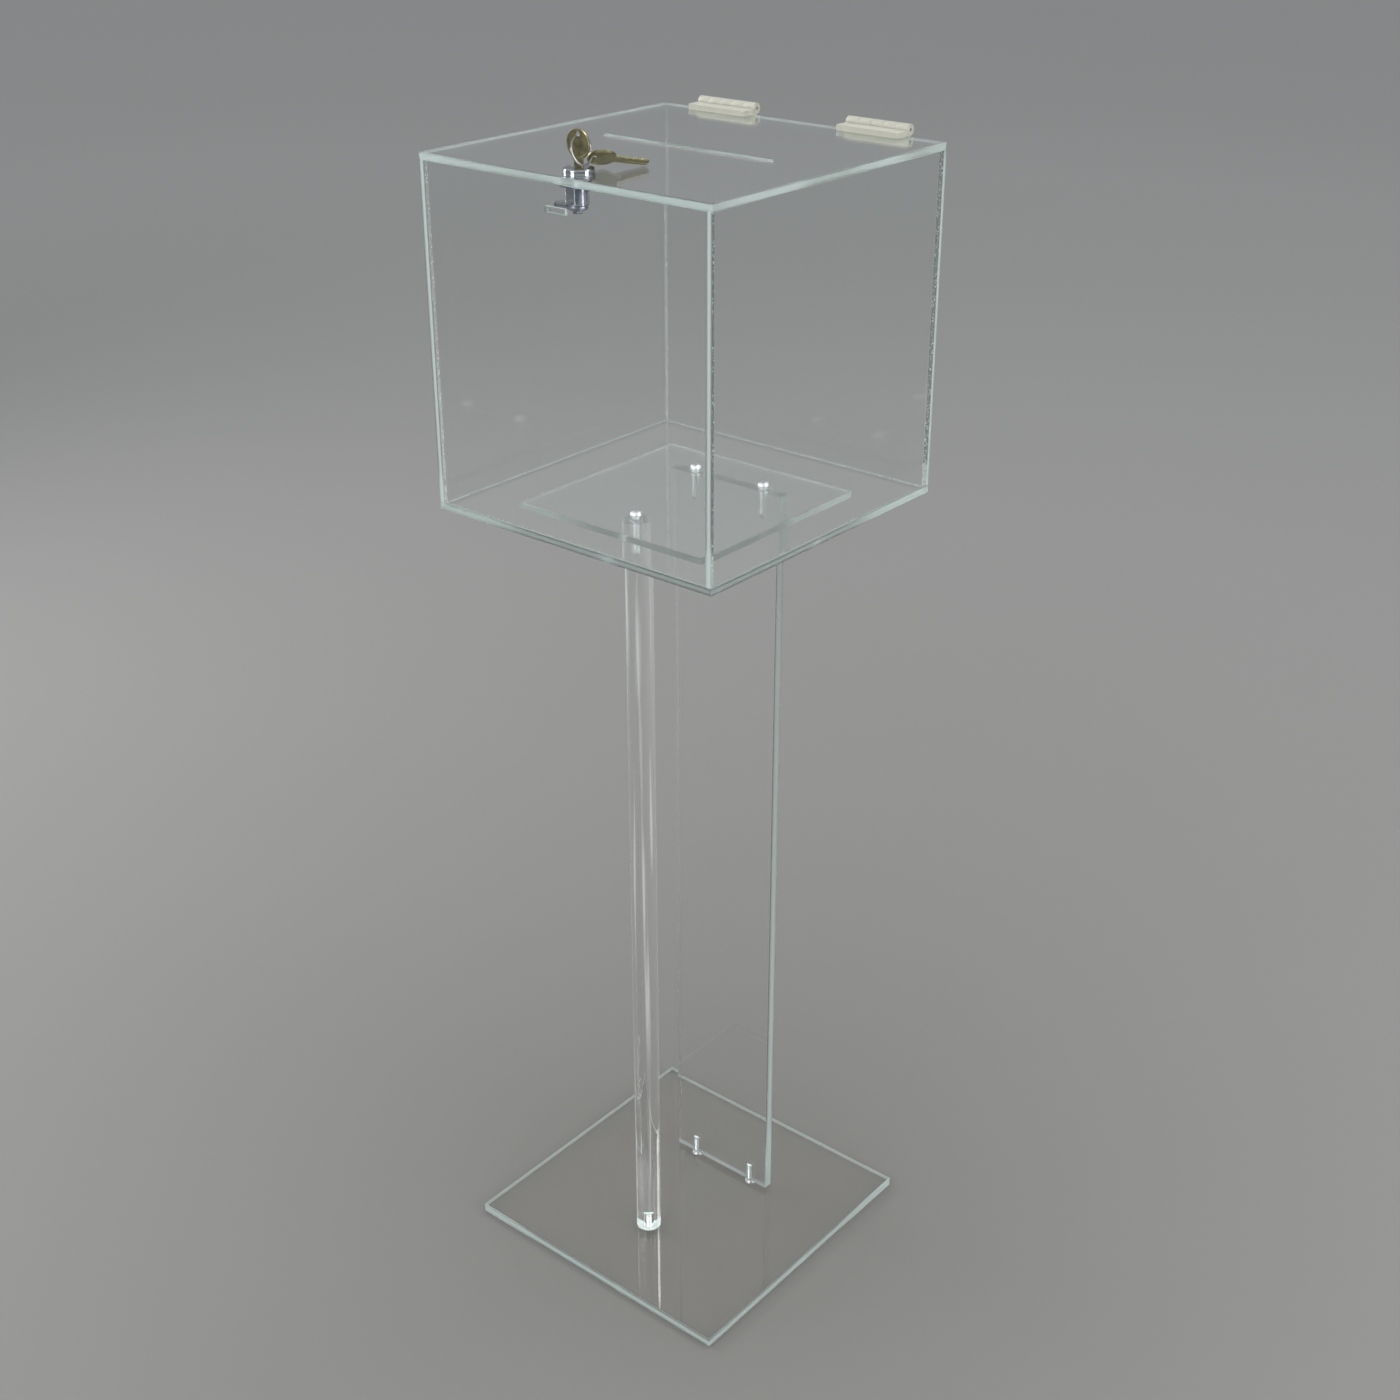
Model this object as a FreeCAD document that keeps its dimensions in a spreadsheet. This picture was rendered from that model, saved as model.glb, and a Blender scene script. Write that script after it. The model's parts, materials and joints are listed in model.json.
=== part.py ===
import FreeCAD, Part
import math
import os
import Sketcher

# Clear acrylic ballot box on a pedestal, in millimetres. The origin is on the floor under the
# middle of the box, +Z is up, the lock is on the -Y side and the hinges are on the +Y side.

# Driving sizes. Lengths are in millimetres, angles in degrees.
SIZES = {
    # Whole object
    "total_height": 1092.0,
    "box_width": 305.0,
    "box_depth": 305.0,
    "box_height": 305.0,
    "sheet_thickness": 6.0,
    "arris": 0.5,
    # Stand
    "base_width": 305.0,
    "base_depth": 305.0,
    "base_thickness": 10.0,
    "head_width": 204.0,
    "head_depth": 204.0,
    "head_thickness": 6.0,
    "rod_diameter": 25.0,
    "rod_edge_margin": 37.0,
    "panel_width": 120.0,
    "panel_thickness": 10.0,
    "panel_edge_margin": 43.0,
    "panel_screw_margin": 23.5,
    # Screws of the stand
    "screw_diameter": 6.0,
    "screw_fit": 0.05,
    "hole_clearance": 0.2,
    "tapped_depth_spare": 2.0,
    "base_screw_grip": 15.0,
    "countersunk_diameter": 11.3,
    "countersunk_recess": 0.4,
    "head_screw_grip": 23.0,
    "button_diameter": 10.5,
    "button_height": 3.3,
    "button_rounding": 2.2,
    "socket_width": 4.0,
    "socket_depth": 2.0,
    # Lid
    "lid_gap": 0.3,
    "ballot_slot_length": 178.0,
    "ballot_slot_width": 6.0,
    # Hinges
    "hinge_length": 63.5,
    "hinge_side_margin": 39.25,
    "leaf_thickness": 4.5,
    "leaf_reach": 19.0,
    "leaf_fold_gap": 0.25,
    "leaf_corner": 2.0,
    "knuckle_gap": 0.3,
    "pin_diameter": 3.0,
    "pin_fit": 0.05,
    "pin_recess": 0.5,
    # Key
    "blade_width": 7.6,
    "blade_thickness": 2.0,
    "blade_tip": 4.0,
    "blade_point": 2.0,
    "neck_width": 9.0,
    "neck_length": 5.8,
    "key_gap": 0.3,
    "bow_diameter": 23.0,
    "bow_hole_diameter": 5.0,
    "bow_hole_margin": 2.0,
    "bow_edge": 0.4,
    # Lock
    "wafer_thickness": 1.0,
    "wafer_pitch": 3.0,
    "first_wafer": 5.0,
    "wafer_wall": 0.9,
    "wafer_side": 2.3,
    "wafer_gap": 0.1,
    "spring_diameter": 1.5,
    "spring_wire": 0.25,
    "spring_length": 3.0,
    "spring_gap": 0.1,
    "window_gap": 0.3,
    "keyway_gap": 0.2,
    "keyway_end": 1.0,
    "plug_end_wall": 5.0,
    "plug_fit": 0.05,
    "plug_end_gap": 0.1,
    "plug_flange_rise": 1.5,
    "plug_flange_height": 1.6,
    "lock_head_height": 3.0,
    "lock_head_overlap": 3.0,
    "lock_head_rounding": 1.5,
    "flat_wall": 1.7,
    "thread_rise": 1.5,
    "lock_hole_gap": 0.15,
    "nut_wall": 2.5,
    "nut_height": 5.0,
    "nut_chamfer": 0.8,
    "lock_wall_gap": 5.0,
    "drive_margin": 0.6,
    "drive_fit": 0.05,
    "stop_washer_thickness": 1.2,
    "stop_skirt_height": 0.9,
    "stop_skirt_gap": 0.2,
    "stop_lug_width": 4.0,
    "stop_slack": 1.5,
    "lock_turn": 90.0,
    "cam_width": 12.0,
    "cam_thickness": 2.5,
    "cam_setback": 2.0,
    "cam_hub_wall": 2.8,
    "cam_slot_side_gap": 0.8,
    "cam_slot_height_gap": 1.2,
    "cam_screw_diameter": 4.0,
    "cam_screw_flange": 1.0,
    "cam_screw_head_width": 7.0,
    "cam_screw_head_height": 2.8,
    # Key ring and the spare key on it
    "ring_diameter": 21.6,
    "ring_wire": 1.6,
    "ring_gap": 0.3,
    "ring_station": 122.0,
    "spare_wire_height": 10.5,
    "spare_heading": 60.0,
    "spare_roll": 35.0,
    "spare_gap": 0.3,
}

# Counts
WAFER_COUNT = 5
SPRING_TURNS = 6
HINGE_KNUCKLES = 5
HEXAGON_SIDES = 6

# The depths of the key's notches, from the bow to the tip, in walls of a wafer
BITTING = (0.6, 1.2, 0.9, 1.5, 0.7)

# Angles in degrees: between the sides of a countersunk head, and towards the front, seen from above
COUNTERSINK_ANGLE = 90
FRONT_ANGLE = 270

# How often the spare key's lean is worked out again from the last one
LEAN_ROUNDS = 4

# Lengths and shares that differ by less than this count as alike
NEAR = 0.001

VERTICAL = FreeCAD.Vector(0, 0, 1)
BACKWARD = FreeCAD.Vector(0, 1, 0)


class Size:
    """A size with the formula of sheet cells that it comes from."""

    def __init__(self, value, formula):
        self.value = value
        self.formula = formula

    def __add__(self, other):
        other = as_size(other)
        return Size(self.value + other.value, f"({self.formula} + {other.formula})")

    def __sub__(self, other):
        other = as_size(other)
        return Size(self.value - other.value, f"({self.formula} - {other.formula})")

    def __mul__(self, other):
        other = as_size(other)
        return Size(self.value * other.value, f"({self.formula} * {other.formula})")

    def __truediv__(self, other):
        other = as_size(other)
        return Size(self.value / other.value, f"({self.formula} / {other.formula})")

    def __neg__(self):
        return Size(-self.value, f"(0 - {self.formula})")

    def __radd__(self, other):
        return as_size(other) + self

    def __rsub__(self, other):
        return as_size(other) - self

    def __rmul__(self, other):
        return as_size(other) * self


def as_size(number):
    """A plain number as a size."""
    if isinstance(number, Size):
        return number
    return Size(float(number), f"{float(number):.9f}")


def root(square):
    """The square root of a size."""
    return Size(math.sqrt(square.value), f"sqrt({square.formula})")


def cosine(angle):
    """The cosine of a size in degrees."""
    return Size(math.cos(math.radians(angle.value)), f"cos({angle.formula})")


def sine(angle):
    """The sine of a size in degrees."""
    return Size(math.sin(math.radians(angle.value)), f"sin({angle.formula})")


def hexagon_corner(width):
    """How far a hexagon's corners are from its middle, given its width across flats."""
    return width / 2 / cosine(as_size(180 / HEXAGON_SIDES))


class Sheet:
    """The spreadsheet of driving sizes. Each size is read as sheet.its_name."""

    def __init__(self, document):
        cells = document.addObject("Spreadsheet::Sheet", "Dimensions")
        for row, (name, value) in enumerate(SIZES.items(), start=1):
            cells.set(f"A{row}", str(value))
            cells.setAlias(f"A{row}", name)
            setattr(self, name, Size(value, f"Dimensions.{name}"))


doc = FreeCAD.newDocument("BallotBox")
s = Sheet(doc)
doc.recompute()

# Heights and places that several pieces share

box_bottom = s.total_height - s.box_height
column_bottom = s.base_thickness
column_top = box_bottom - s.head_thickness
column_length = column_top - column_bottom
floor_top = box_bottom + s.sheet_thickness
lid_bottom = s.total_height - s.sheet_thickness
wall_height = lid_bottom - s.lid_gap - floor_top

rod_y = s.rod_edge_margin - s.head_depth / 2
panel_y = s.head_depth / 2 - s.panel_edge_margin
panel_screw_x = s.panel_width / 2 - s.panel_screw_margin
COLUMN_SCREWS = ((as_size(0), rod_y), (-panel_screw_x, panel_y), (panel_screw_x, panel_y))

# Screw sizes

base_screw_length = s.base_thickness - s.countersunk_recess + s.base_screw_grip
head_screw_length = s.sheet_thickness + s.head_thickness + s.head_screw_grip
base_hole_depth = s.base_screw_grip + s.tapped_depth_spare
head_hole_depth = s.head_screw_grip + s.tapped_depth_spare

# Hinge sizes: the knuckle's axis stands off the lid and the back wall by the knuckle's radius

knuckle_radius = s.leaf_thickness + s.leaf_fold_gap
hinge_axis_y = s.box_depth / 2 + knuckle_radius
hinge_axis_z = s.total_height + knuckle_radius
hinge_x = s.box_width / 2 - s.hinge_side_margin - s.hinge_length / 2
knuckle_length = (s.hinge_length - (HINGE_KNUCKLES - 1) * s.knuckle_gap) / HINGE_KNUCKLES
knuckle_step = knuckle_length + s.knuckle_gap

# Lock sizes, worked outwards from the key's blade: wafer, plug, barrel, nut, head

blade_length = s.first_wafer + (WAFER_COUNT - 1) * s.wafer_pitch + s.blade_tip
wafer_half_height = s.blade_width / 2 + s.window_gap + s.wafer_wall
wafer_half_width = s.blade_thickness / 2 + s.window_gap + s.wafer_side
wafer_corner = root(wafer_half_height * wafer_half_height + wafer_half_width * wafer_half_width)
plug_radius = wafer_corner + s.wafer_gap
bore_radius = plug_radius + s.plug_fit
barrel_flats = 2 * (bore_radius + s.flat_wall)
barrel_radius = barrel_flats / 2 + s.thread_rise
head_radius = barrel_radius + s.lock_head_overlap
nut_width = 2 * (barrel_radius + s.nut_wall)
nut_corner_radius = hexagon_corner(nut_width)
drive_corner = plug_radius - s.drive_margin
drive_width = drive_corner * root(as_size(2))
keyway_depth = blade_length + s.keyway_end
stop_floor = s.lock_head_height - keyway_depth - s.plug_end_wall
barrel_end = stop_floor - s.stop_skirt_height
plug_shoulder = stop_floor - s.plug_end_gap
cam_top = plug_shoulder - s.stop_washer_thickness
cam_bottom = cam_top - s.cam_thickness
drive_end = cam_bottom + s.plug_end_gap
cam_screw_hole_depth = plug_shoulder - drive_end + s.plug_end_wall - s.keyway_end
lock_inset = s.sheet_thickness + s.lock_wall_gap + nut_corner_radius
lock_y = lock_inset - s.box_depth / 2
cam_reach = lock_inset - s.cam_setback
cam_tip_radius = s.cam_width / 2
lug_angle = FRONT_ANGLE - s.lock_turn / 2

# Spring sizes: each spring lies beside the blade, in a well of the plug and a notch of its wafer

wafer_travel = s.wafer_wall
well_radius = s.spring_diameter / 2 + s.spring_gap
spring_y = wafer_half_width - well_radius

# Key sizes

bow_radius = s.bow_diameter / 2
bow_centre = s.neck_length + bow_radius
bow_hole_rise = bow_centre + bow_radius - s.bow_hole_margin - s.bow_hole_diameter / 2
key_z = s.total_height + s.lock_head_height + s.key_gap


# Document helpers


def bind(item, prop, amount):
    """Bind a property to the formula of a size."""
    item.setExpression(prop, as_size(amount).formula)


def place(item, x=0, y=0, z=0, rotation=None):
    """Give an object its place in the object's frame."""
    if rotation is not None:
        item.Placement = FreeCAD.Placement(FreeCAD.Vector(), rotation)
    for axis, amount in (("x", x), ("y", y), ("z", z)):
        bind(item, f"Placement.Base.{axis}", amount)


def new_body(label):
    """An empty body whose label names its node."""
    body = doc.addObject("PartDesign::Body", label)
    body.Label = label
    return body


def origin_feature(body, role):
    """One of the planes or axes of a body's own origin."""
    return [item for item in body.Origin.OriginFeatures if item.Role == role][0]


def new_sketch(body, plane, offset=0):
    """A sketch on one of the body's own origin planes, moved along that plane's normal."""
    sketch = body.newObject("Sketcher::SketchObject", body.Label + "_sketch")
    sketch.AttachmentSupport = [(origin_feature(body, plane), "")]
    sketch.MapMode = "FlatFace"
    bind(sketch, "AttachmentOffset.Base.z", offset)
    return sketch


def fix_distance(sketch, kind, geometry, point, amount):
    """Hold one point of a sketch at a bound distance from the sketch's origin along one axis."""
    amount = as_size(amount)
    number = sketch.addConstraint(Sketcher.Constraint(kind, -1, 1, geometry, point, amount.value))
    sketch.setExpression(f"Constraints[{number}]", amount.formula)


def fix_across(sketch, geometry, point, x):
    """Hold one point of a sketch across the sketch only."""
    fix_distance(sketch, "DistanceX", geometry, point, x)


def fix_point(sketch, geometry, point, x, y):
    """Hold one point of a sketch at bound distances from the sketch's origin."""
    fix_distance(sketch, "DistanceX", geometry, point, x)
    fix_distance(sketch, "DistanceY", geometry, point, y)


def fix_radius(sketch, geometry, radius):
    """Hold the radius of a circle or an arc."""
    number = sketch.addConstraint(Sketcher.Constraint("Radius", geometry, radius.value))
    sketch.setExpression(f"Constraints[{number}]", radius.formula)


def vector(x, y):
    """The point of a sketch that two sizes give."""
    return FreeCAD.Vector(as_size(x).value, as_size(y).value, 0)


def outline(sketch, points):
    """A closed outline of straight lines through bound points."""
    first = sketch.GeometryCount
    for number, point in enumerate(points):
        following = points[(number + 1) % len(points)]
        sketch.addGeometry(Part.LineSegment(vector(*point), vector(*following)), False)
    for number, point in enumerate(points):
        line = first + number
        following = first + (number + 1) % len(points)
        sketch.addConstraint(Sketcher.Constraint("Coincident", line, 2, following, 1))
        fix_point(sketch, line, 1, *point)


def rectangle(sketch, left, right, bottom, top):
    """A rectangle between bound sides."""
    outline(sketch, ((left, bottom), (right, bottom), (right, top), (left, top)))


def circle(sketch, x, y, radius):
    """A circle with a bound centre and radius."""
    number = sketch.GeometryCount
    sketch.addGeometry(Part.Circle(vector(x, y), VERTICAL, radius.value), False)
    fix_point(sketch, number, 3, x, y)
    fix_radius(sketch, number, radius)


def two_arc_outline(sketch, left_x, right_x, half_width, radius, centre_shift):
    """Two parallel lines closed by an arc at each end.

    The lines run from left_x to right_x at half_width either side of the X axis. Each arc is centred
    centre_shift inside the end that it closes.
    """
    left_centre = left_x + centre_shift
    right_centre = right_x - centre_shift
    reach = math.atan2(half_width.value, centre_shift.value)
    left_circle = Part.Circle(vector(left_centre, 0), VERTICAL, radius.value)
    right_circle = Part.Circle(vector(right_centre, 0), VERTICAL, radius.value)
    first = sketch.GeometryCount
    sketch.addGeometry(Part.LineSegment(vector(left_x, -half_width), vector(right_x, -half_width)), False)
    sketch.addGeometry(Part.ArcOfCircle(right_circle, -reach, reach), False)
    sketch.addGeometry(Part.LineSegment(vector(right_x, half_width), vector(left_x, half_width)), False)
    sketch.addGeometry(Part.ArcOfCircle(left_circle, math.pi - reach, math.pi + reach), False)
    for number in range(4):
        following = first + (number + 1) % 4
        sketch.addConstraint(Sketcher.Constraint("Coincident", first + number, 2, following, 1))
    fix_point(sketch, first, 1, left_x, -half_width)
    fix_point(sketch, first, 2, right_x, -half_width)
    fix_point(sketch, first + 2, 1, right_x, half_width)
    fix_point(sketch, first + 2, 2, left_x, half_width)
    fix_across(sketch, first + 1, 3, right_centre)
    fix_across(sketch, first + 3, 3, left_centre)


def rounded_slot(sketch, left, right, radius):
    """A slot outline along X with half-round ends."""
    two_arc_outline(sketch, left + radius, right - radius, radius, radius, as_size(0))


def double_flat(sketch, radius, flats):
    """A circle about the origin with two flats, one towards +Y and one towards -Y."""
    half_chord = root(radius * radius - flats * flats / 4)
    two_arc_outline(sketch, -half_chord, half_chord, flats / 2, radius, half_chord)


def hexagon(sketch, width):
    """A hexagon about the origin, given its width across flats."""
    corner = hexagon_corner(width)
    angles = [as_size(360 / HEXAGON_SIDES * number) for number in range(HEXAGON_SIDES)]
    outline(sketch, [(corner * cosine(angle), corner * sine(angle)) for angle in angles])


def pad(body, sketch, length, both_ways=False, down=False):
    """Add material along the sketch's normal, against it, or half each way."""
    feature = body.newObject("PartDesign::Pad", body.Label + "_pad")
    feature.Profile = sketch
    feature.SideType = "Symmetric" if both_ways else "One side"
    feature.Reversed = down
    bind(feature, "Length", length)
    doc.recompute()
    return feature


def check_cut(body, volume):
    """Stop if a body is no smaller than it was."""
    if not body.Shape.Volume < volume:
        raise RuntimeError(f"the last cut in {body.Label} removes nothing")


def pocket(body, sketch, depth=None, up=False):
    """Cut a pocket against the sketch's normal, along it, or right through both ways."""
    volume = body.Shape.Volume
    feature = body.newObject("PartDesign::Pocket", body.Label + "_pocket")
    feature.Profile = sketch
    if depth is None:
        feature.SideType = "Symmetric"
        feature.Type = "ThroughAll"
    else:
        feature.Reversed = up
        bind(feature, "Length", depth)
    doc.recompute()
    check_cut(body, volume)


def turn_profile(body, sketch, kind):
    """Turn a profile once round the sketch's vertical axis."""
    feature = body.newObject(f"PartDesign::{kind}", f"{body.Label}_{kind.lower()}")
    feature.Profile = sketch
    feature.ReferenceAxis = (sketch, ["V_Axis"])
    feature.Angle = 360
    doc.recompute()
    return feature


def revolve(body, sketch):
    """Add the solid that a profile sweeps round the sketch's vertical axis."""
    return turn_profile(body, sketch, "Revolution")


def groove(body, sketch):
    """Cut away what a profile sweeps round the sketch's vertical axis."""
    volume = body.Shape.Volume
    turn_profile(body, sketch, "Groove")
    check_cut(body, volume)


def dress(body, kind, base, edges, prop, amount):
    """Chamfer or fillet chosen edges of the feature named as base."""
    feature = body.newObject(f"PartDesign::{kind}", f"{body.Label}_{kind.lower()}")
    feature.Base = (base, edges)
    bind(feature, prop, amount)
    doc.recompute()
    return feature


def ease_edges(body, base, edges):
    """The small flat that polishing leaves along an edge."""
    return dress(body, "Chamfer", base, edges, "Size", s.arris)


def round_edges(body, base, edges, radius):
    """Round chosen edges."""
    return dress(body, "Fillet", base, edges, "Radius", radius)


def edges_where(feature, test):
    """The names of a feature's edges that pass a test."""
    return [f"Edge{number}" for number, edge in enumerate(feature.Shape.Edges, start=1) if test(edge)]


def is_round(edge, radius, z=None):
    """Whether an edge is part of a circle of this radius, its centre at this height if one is given."""
    curve = edge.Curve
    if not isinstance(curve, Part.Circle) or abs(curve.Radius - radius.value) > NEAR:
        return False
    return z is None or abs(curve.Center.z - as_size(z).value) < NEAR


def is_vertical(edge):
    """Whether a straight edge stands upright."""
    if not isinstance(edge.Curve, Part.Line):
        return False
    return abs(edge.tangentAt(edge.FirstParameter).z) > 1 - NEAR


def repeat(body, features, axis, step, count):
    """Repeat features along one of the body's axes."""
    pattern = body.newObject("PartDesign::LinearPattern", body.Label + "_pattern")
    pattern.Originals = features
    pattern.Direction = (origin_feature(body, axis), [""])
    pattern.Occurrences = count
    bind(pattern, "Length", step * (count - 1))
    body.Tip = pattern
    doc.recompute()
    return pattern


def group(label, members):
    """Several separate solids that share one node."""
    compound = doc.addObject("Part::Compound", label)
    compound.Label = label
    compound.Links = members
    doc.recompute()
    return compound


# Stand


def plate(label, width, depth, thickness, z):
    """A flat square-cut plate with eased edges, centred over the origin."""
    body = new_body(label)
    sketch = new_sketch(body, "XY_Plane")
    rectangle(sketch, -width / 2, width / 2, -depth / 2, depth / 2)
    slab = pad(body, sketch, thickness)
    place(body, z=z)
    return body, slab


def screw_holes(body, countersunk):
    """Three clearance holes for the column's screws, countersunk from below or plain."""
    sketch = new_sketch(body, "XY_Plane")
    for x, y in COLUMN_SCREWS:
        circle(sketch, x, y, s.screw_diameter / 2 + s.hole_clearance)
    if not countersunk:
        pocket(body, sketch)
        return
    doc.recompute()
    volume = body.Shape.Volume
    hole = body.newObject("PartDesign::Hole", body.Label + "_hole")
    hole.Profile = sketch
    doc.recompute()
    hole.DepthType = "ThroughAll"
    hole.Reversed = True
    bind(hole, "Diameter", s.screw_diameter + 2 * s.hole_clearance)
    hole.HoleCutType = "Countersink"
    hole.HoleCutCustomValues = True
    hole.HoleCutCountersinkAngle = COUNTERSINK_ANGLE
    bind(hole, "HoleCutDiameter", s.countersunk_diameter + 2 * (s.countersunk_recess + s.screw_fit))
    doc.recompute()
    check_cut(body, volume)


def make_base_plate():
    """The clear slab that stands on the floor."""
    body, slab = plate("base_plate", s.base_width, s.base_depth, s.base_thickness, 0)
    ease_edges(body, slab, edges_where(slab, lambda edge: True))
    screw_holes(body, countersunk=True)
    return body


def make_head_plate():
    """The clear plate on top of the column, under the box."""
    body, slab = plate("head_plate", s.head_width, s.head_depth, s.head_thickness, column_top)
    ease_edges(body, slab, edges_where(slab, lambda edge: True))
    screw_holes(body, countersunk=False)
    return body


def tap_ends(body, centres, base_depth, head_depth):
    """Screw holes in both ends of an upright."""
    low = new_sketch(body, "XY_Plane")
    high = new_sketch(body, "XY_Plane", column_length)
    for x, y in centres:
        circle(low, x, y, s.screw_diameter / 2 + s.screw_fit)
        circle(high, x, y, s.screw_diameter / 2 + s.screw_fit)
    pocket(body, low, base_depth, up=True)
    pocket(body, high, head_depth)


def make_front_rod():
    """The clear round rod in front."""
    body = new_body("front_rod")
    sketch = new_sketch(body, "XY_Plane")
    circle(sketch, 0, 0, s.rod_diameter / 2)
    rod = pad(body, sketch, column_length)
    ease_edges(body, rod, edges_where(rod, lambda edge: is_round(edge, s.rod_diameter / 2)))
    tap_ends(body, [(0, 0)], base_hole_depth, head_hole_depth)
    place(body, y=rod_y, z=column_bottom)
    return body


def make_rear_panel():
    """The clear flat upright behind the rod."""
    body = new_body("rear_panel")
    sketch = new_sketch(body, "XY_Plane")
    rectangle(sketch, -s.panel_width / 2, s.panel_width / 2, -s.panel_thickness / 2, s.panel_thickness / 2)
    slab = pad(body, sketch, column_length)
    ease_edges(body, slab, edges_where(slab, is_vertical))
    tap_ends(body, [(-panel_screw_x, 0), (panel_screw_x, 0)], base_hole_depth, head_hole_depth)
    place(body, y=panel_y, z=column_bottom)
    return body


def cut_socket(body, face_z, up):
    """The hexagon socket in a screw's head."""
    sketch = new_sketch(body, "XY_Plane", face_z)
    hexagon(sketch, s.socket_width)
    pocket(body, sketch, s.socket_depth, up)


def countersunk_screw(label, x, y):
    """A countersunk socket screw, its flat head down and just inside the base plate."""
    body = new_body(label)
    sketch = new_sketch(body, "XZ_Plane")
    head = s.countersunk_diameter / 2
    shank = s.screw_diameter / 2
    half_angle = as_size(COUNTERSINK_ANGLE / 2)
    cone = (head - shank) * cosine(half_angle) / sine(half_angle)
    outline(sketch, ((0, 0), (head, 0), (shank, cone), (shank, base_screw_length), (0, base_screw_length)))
    revolve(body, sketch)
    cut_socket(body, 0, up=True)
    place(body, x, y, s.countersunk_recess)
    return body


def button_screw(label, x, y):
    """A button-head socket screw, its head on the floor of the box."""
    body = new_body(label)
    sketch = new_sketch(body, "XZ_Plane")
    head = s.button_diameter / 2
    shank = s.screw_diameter / 2
    outline(sketch, ((0, -head_screw_length), (shank, -head_screw_length), (shank, 0), (head, 0),
                     (head, s.button_height), (0, s.button_height)))
    turned = revolve(body, sketch)
    rim = edges_where(turned, lambda edge: is_round(edge, head, s.button_height))
    round_edges(body, turned, rim, s.button_rounding)
    cut_socket(body, s.button_height, up=False)
    place(body, x, y, floor_top)
    return body


def make_base_screws():
    """The screws that come up through the base plate."""
    screws = [countersunk_screw(f"base_screw_{number}", x, y)
              for number, (x, y) in enumerate(COLUMN_SCREWS, start=1)]
    return group("base_screws", screws)


def make_head_screws():
    """The screws that go down through the box floor and the head plate."""
    screws = [button_screw(f"head_screw_{number}", x, y)
              for number, (x, y) in enumerate(COLUMN_SCREWS, start=1)]
    return group("head_screws", screws)


# Box


def make_box_floor():
    """The floor sheet that the four walls stand on."""
    body, _ = plate("box_floor", s.box_width, s.box_depth, s.sheet_thickness, box_bottom)
    screw_holes(body, countersunk=False)
    return body


def wall(label, left, right, front, back):
    """An upright sheet between four plan lines, standing on the floor sheet."""
    body = new_body(label)
    sketch = new_sketch(body, "XY_Plane")
    rectangle(sketch, left, right, front, back)
    pad(body, sketch, wall_height)
    place(body, z=floor_top)
    return body


def make_side_walls():
    """The left and right walls, full depth, so that their front edges show."""
    outer = s.box_width / 2
    inner = outer - s.sheet_thickness
    front = -s.box_depth / 2
    back = s.box_depth / 2
    left = wall("left_wall", -outer, -inner, front, back)
    right = wall("right_wall", inner, outer, front, back)
    return left, right


def make_back_wall():
    """The wall between the side walls at the back."""
    inner = s.box_width / 2 - s.sheet_thickness
    back = s.box_depth / 2
    return wall("back_wall", -inner, inner, back - s.sheet_thickness, back)


def make_front_wall():
    """The wall at the front, with the slot that the lock's cam turns into."""
    inner = s.box_width / 2 - s.sheet_thickness
    front = -s.box_depth / 2
    body = wall("front_wall", -inner, inner, front, front + s.sheet_thickness)
    sketch = new_sketch(body, "XZ_Plane")
    to_wall = lock_inset - s.sheet_thickness
    swept = root(cam_reach * cam_reach - to_wall * to_wall)
    slot_left = -(swept + s.cam_slot_side_gap)
    slot_right = cam_tip_radius + s.cam_slot_side_gap
    slot_bottom = s.total_height + cam_bottom - s.cam_slot_height_gap - floor_top
    slot_top = s.total_height + cam_top + s.cam_slot_height_gap - floor_top
    rectangle(sketch, slot_left, slot_right, slot_bottom, slot_top)
    pocket(body, sketch)
    return body


def make_lid():
    """The lid sheet, with the ballot slot and the double-flat hole for the lock."""
    body = new_body("lid")
    sketch = new_sketch(body, "XY_Plane")
    rectangle(sketch, -s.box_width / 2, s.box_width / 2, -s.box_depth / 2, s.box_depth / 2 - s.lid_gap)
    sheet = pad(body, sketch, s.sheet_thickness)
    ease_edges(body, sheet, edges_where(sheet, lambda edge: True))
    ballot = new_sketch(body, "XY_Plane")
    half_slot = s.ballot_slot_length / 2
    rounded_slot(ballot, -half_slot, half_slot, s.ballot_slot_width / 2)
    pocket(body, ballot)
    lock_hole = new_sketch(body, "XY_Plane")
    bind(lock_hole, "AttachmentOffset.Base.y", lock_y)
    double_flat(lock_hole, barrel_radius + s.lock_hole_gap, barrel_flats + 2 * s.lock_hole_gap)
    pocket(body, lock_hole)
    place(body, z=lid_bottom)
    return body


# Hinges


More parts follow.
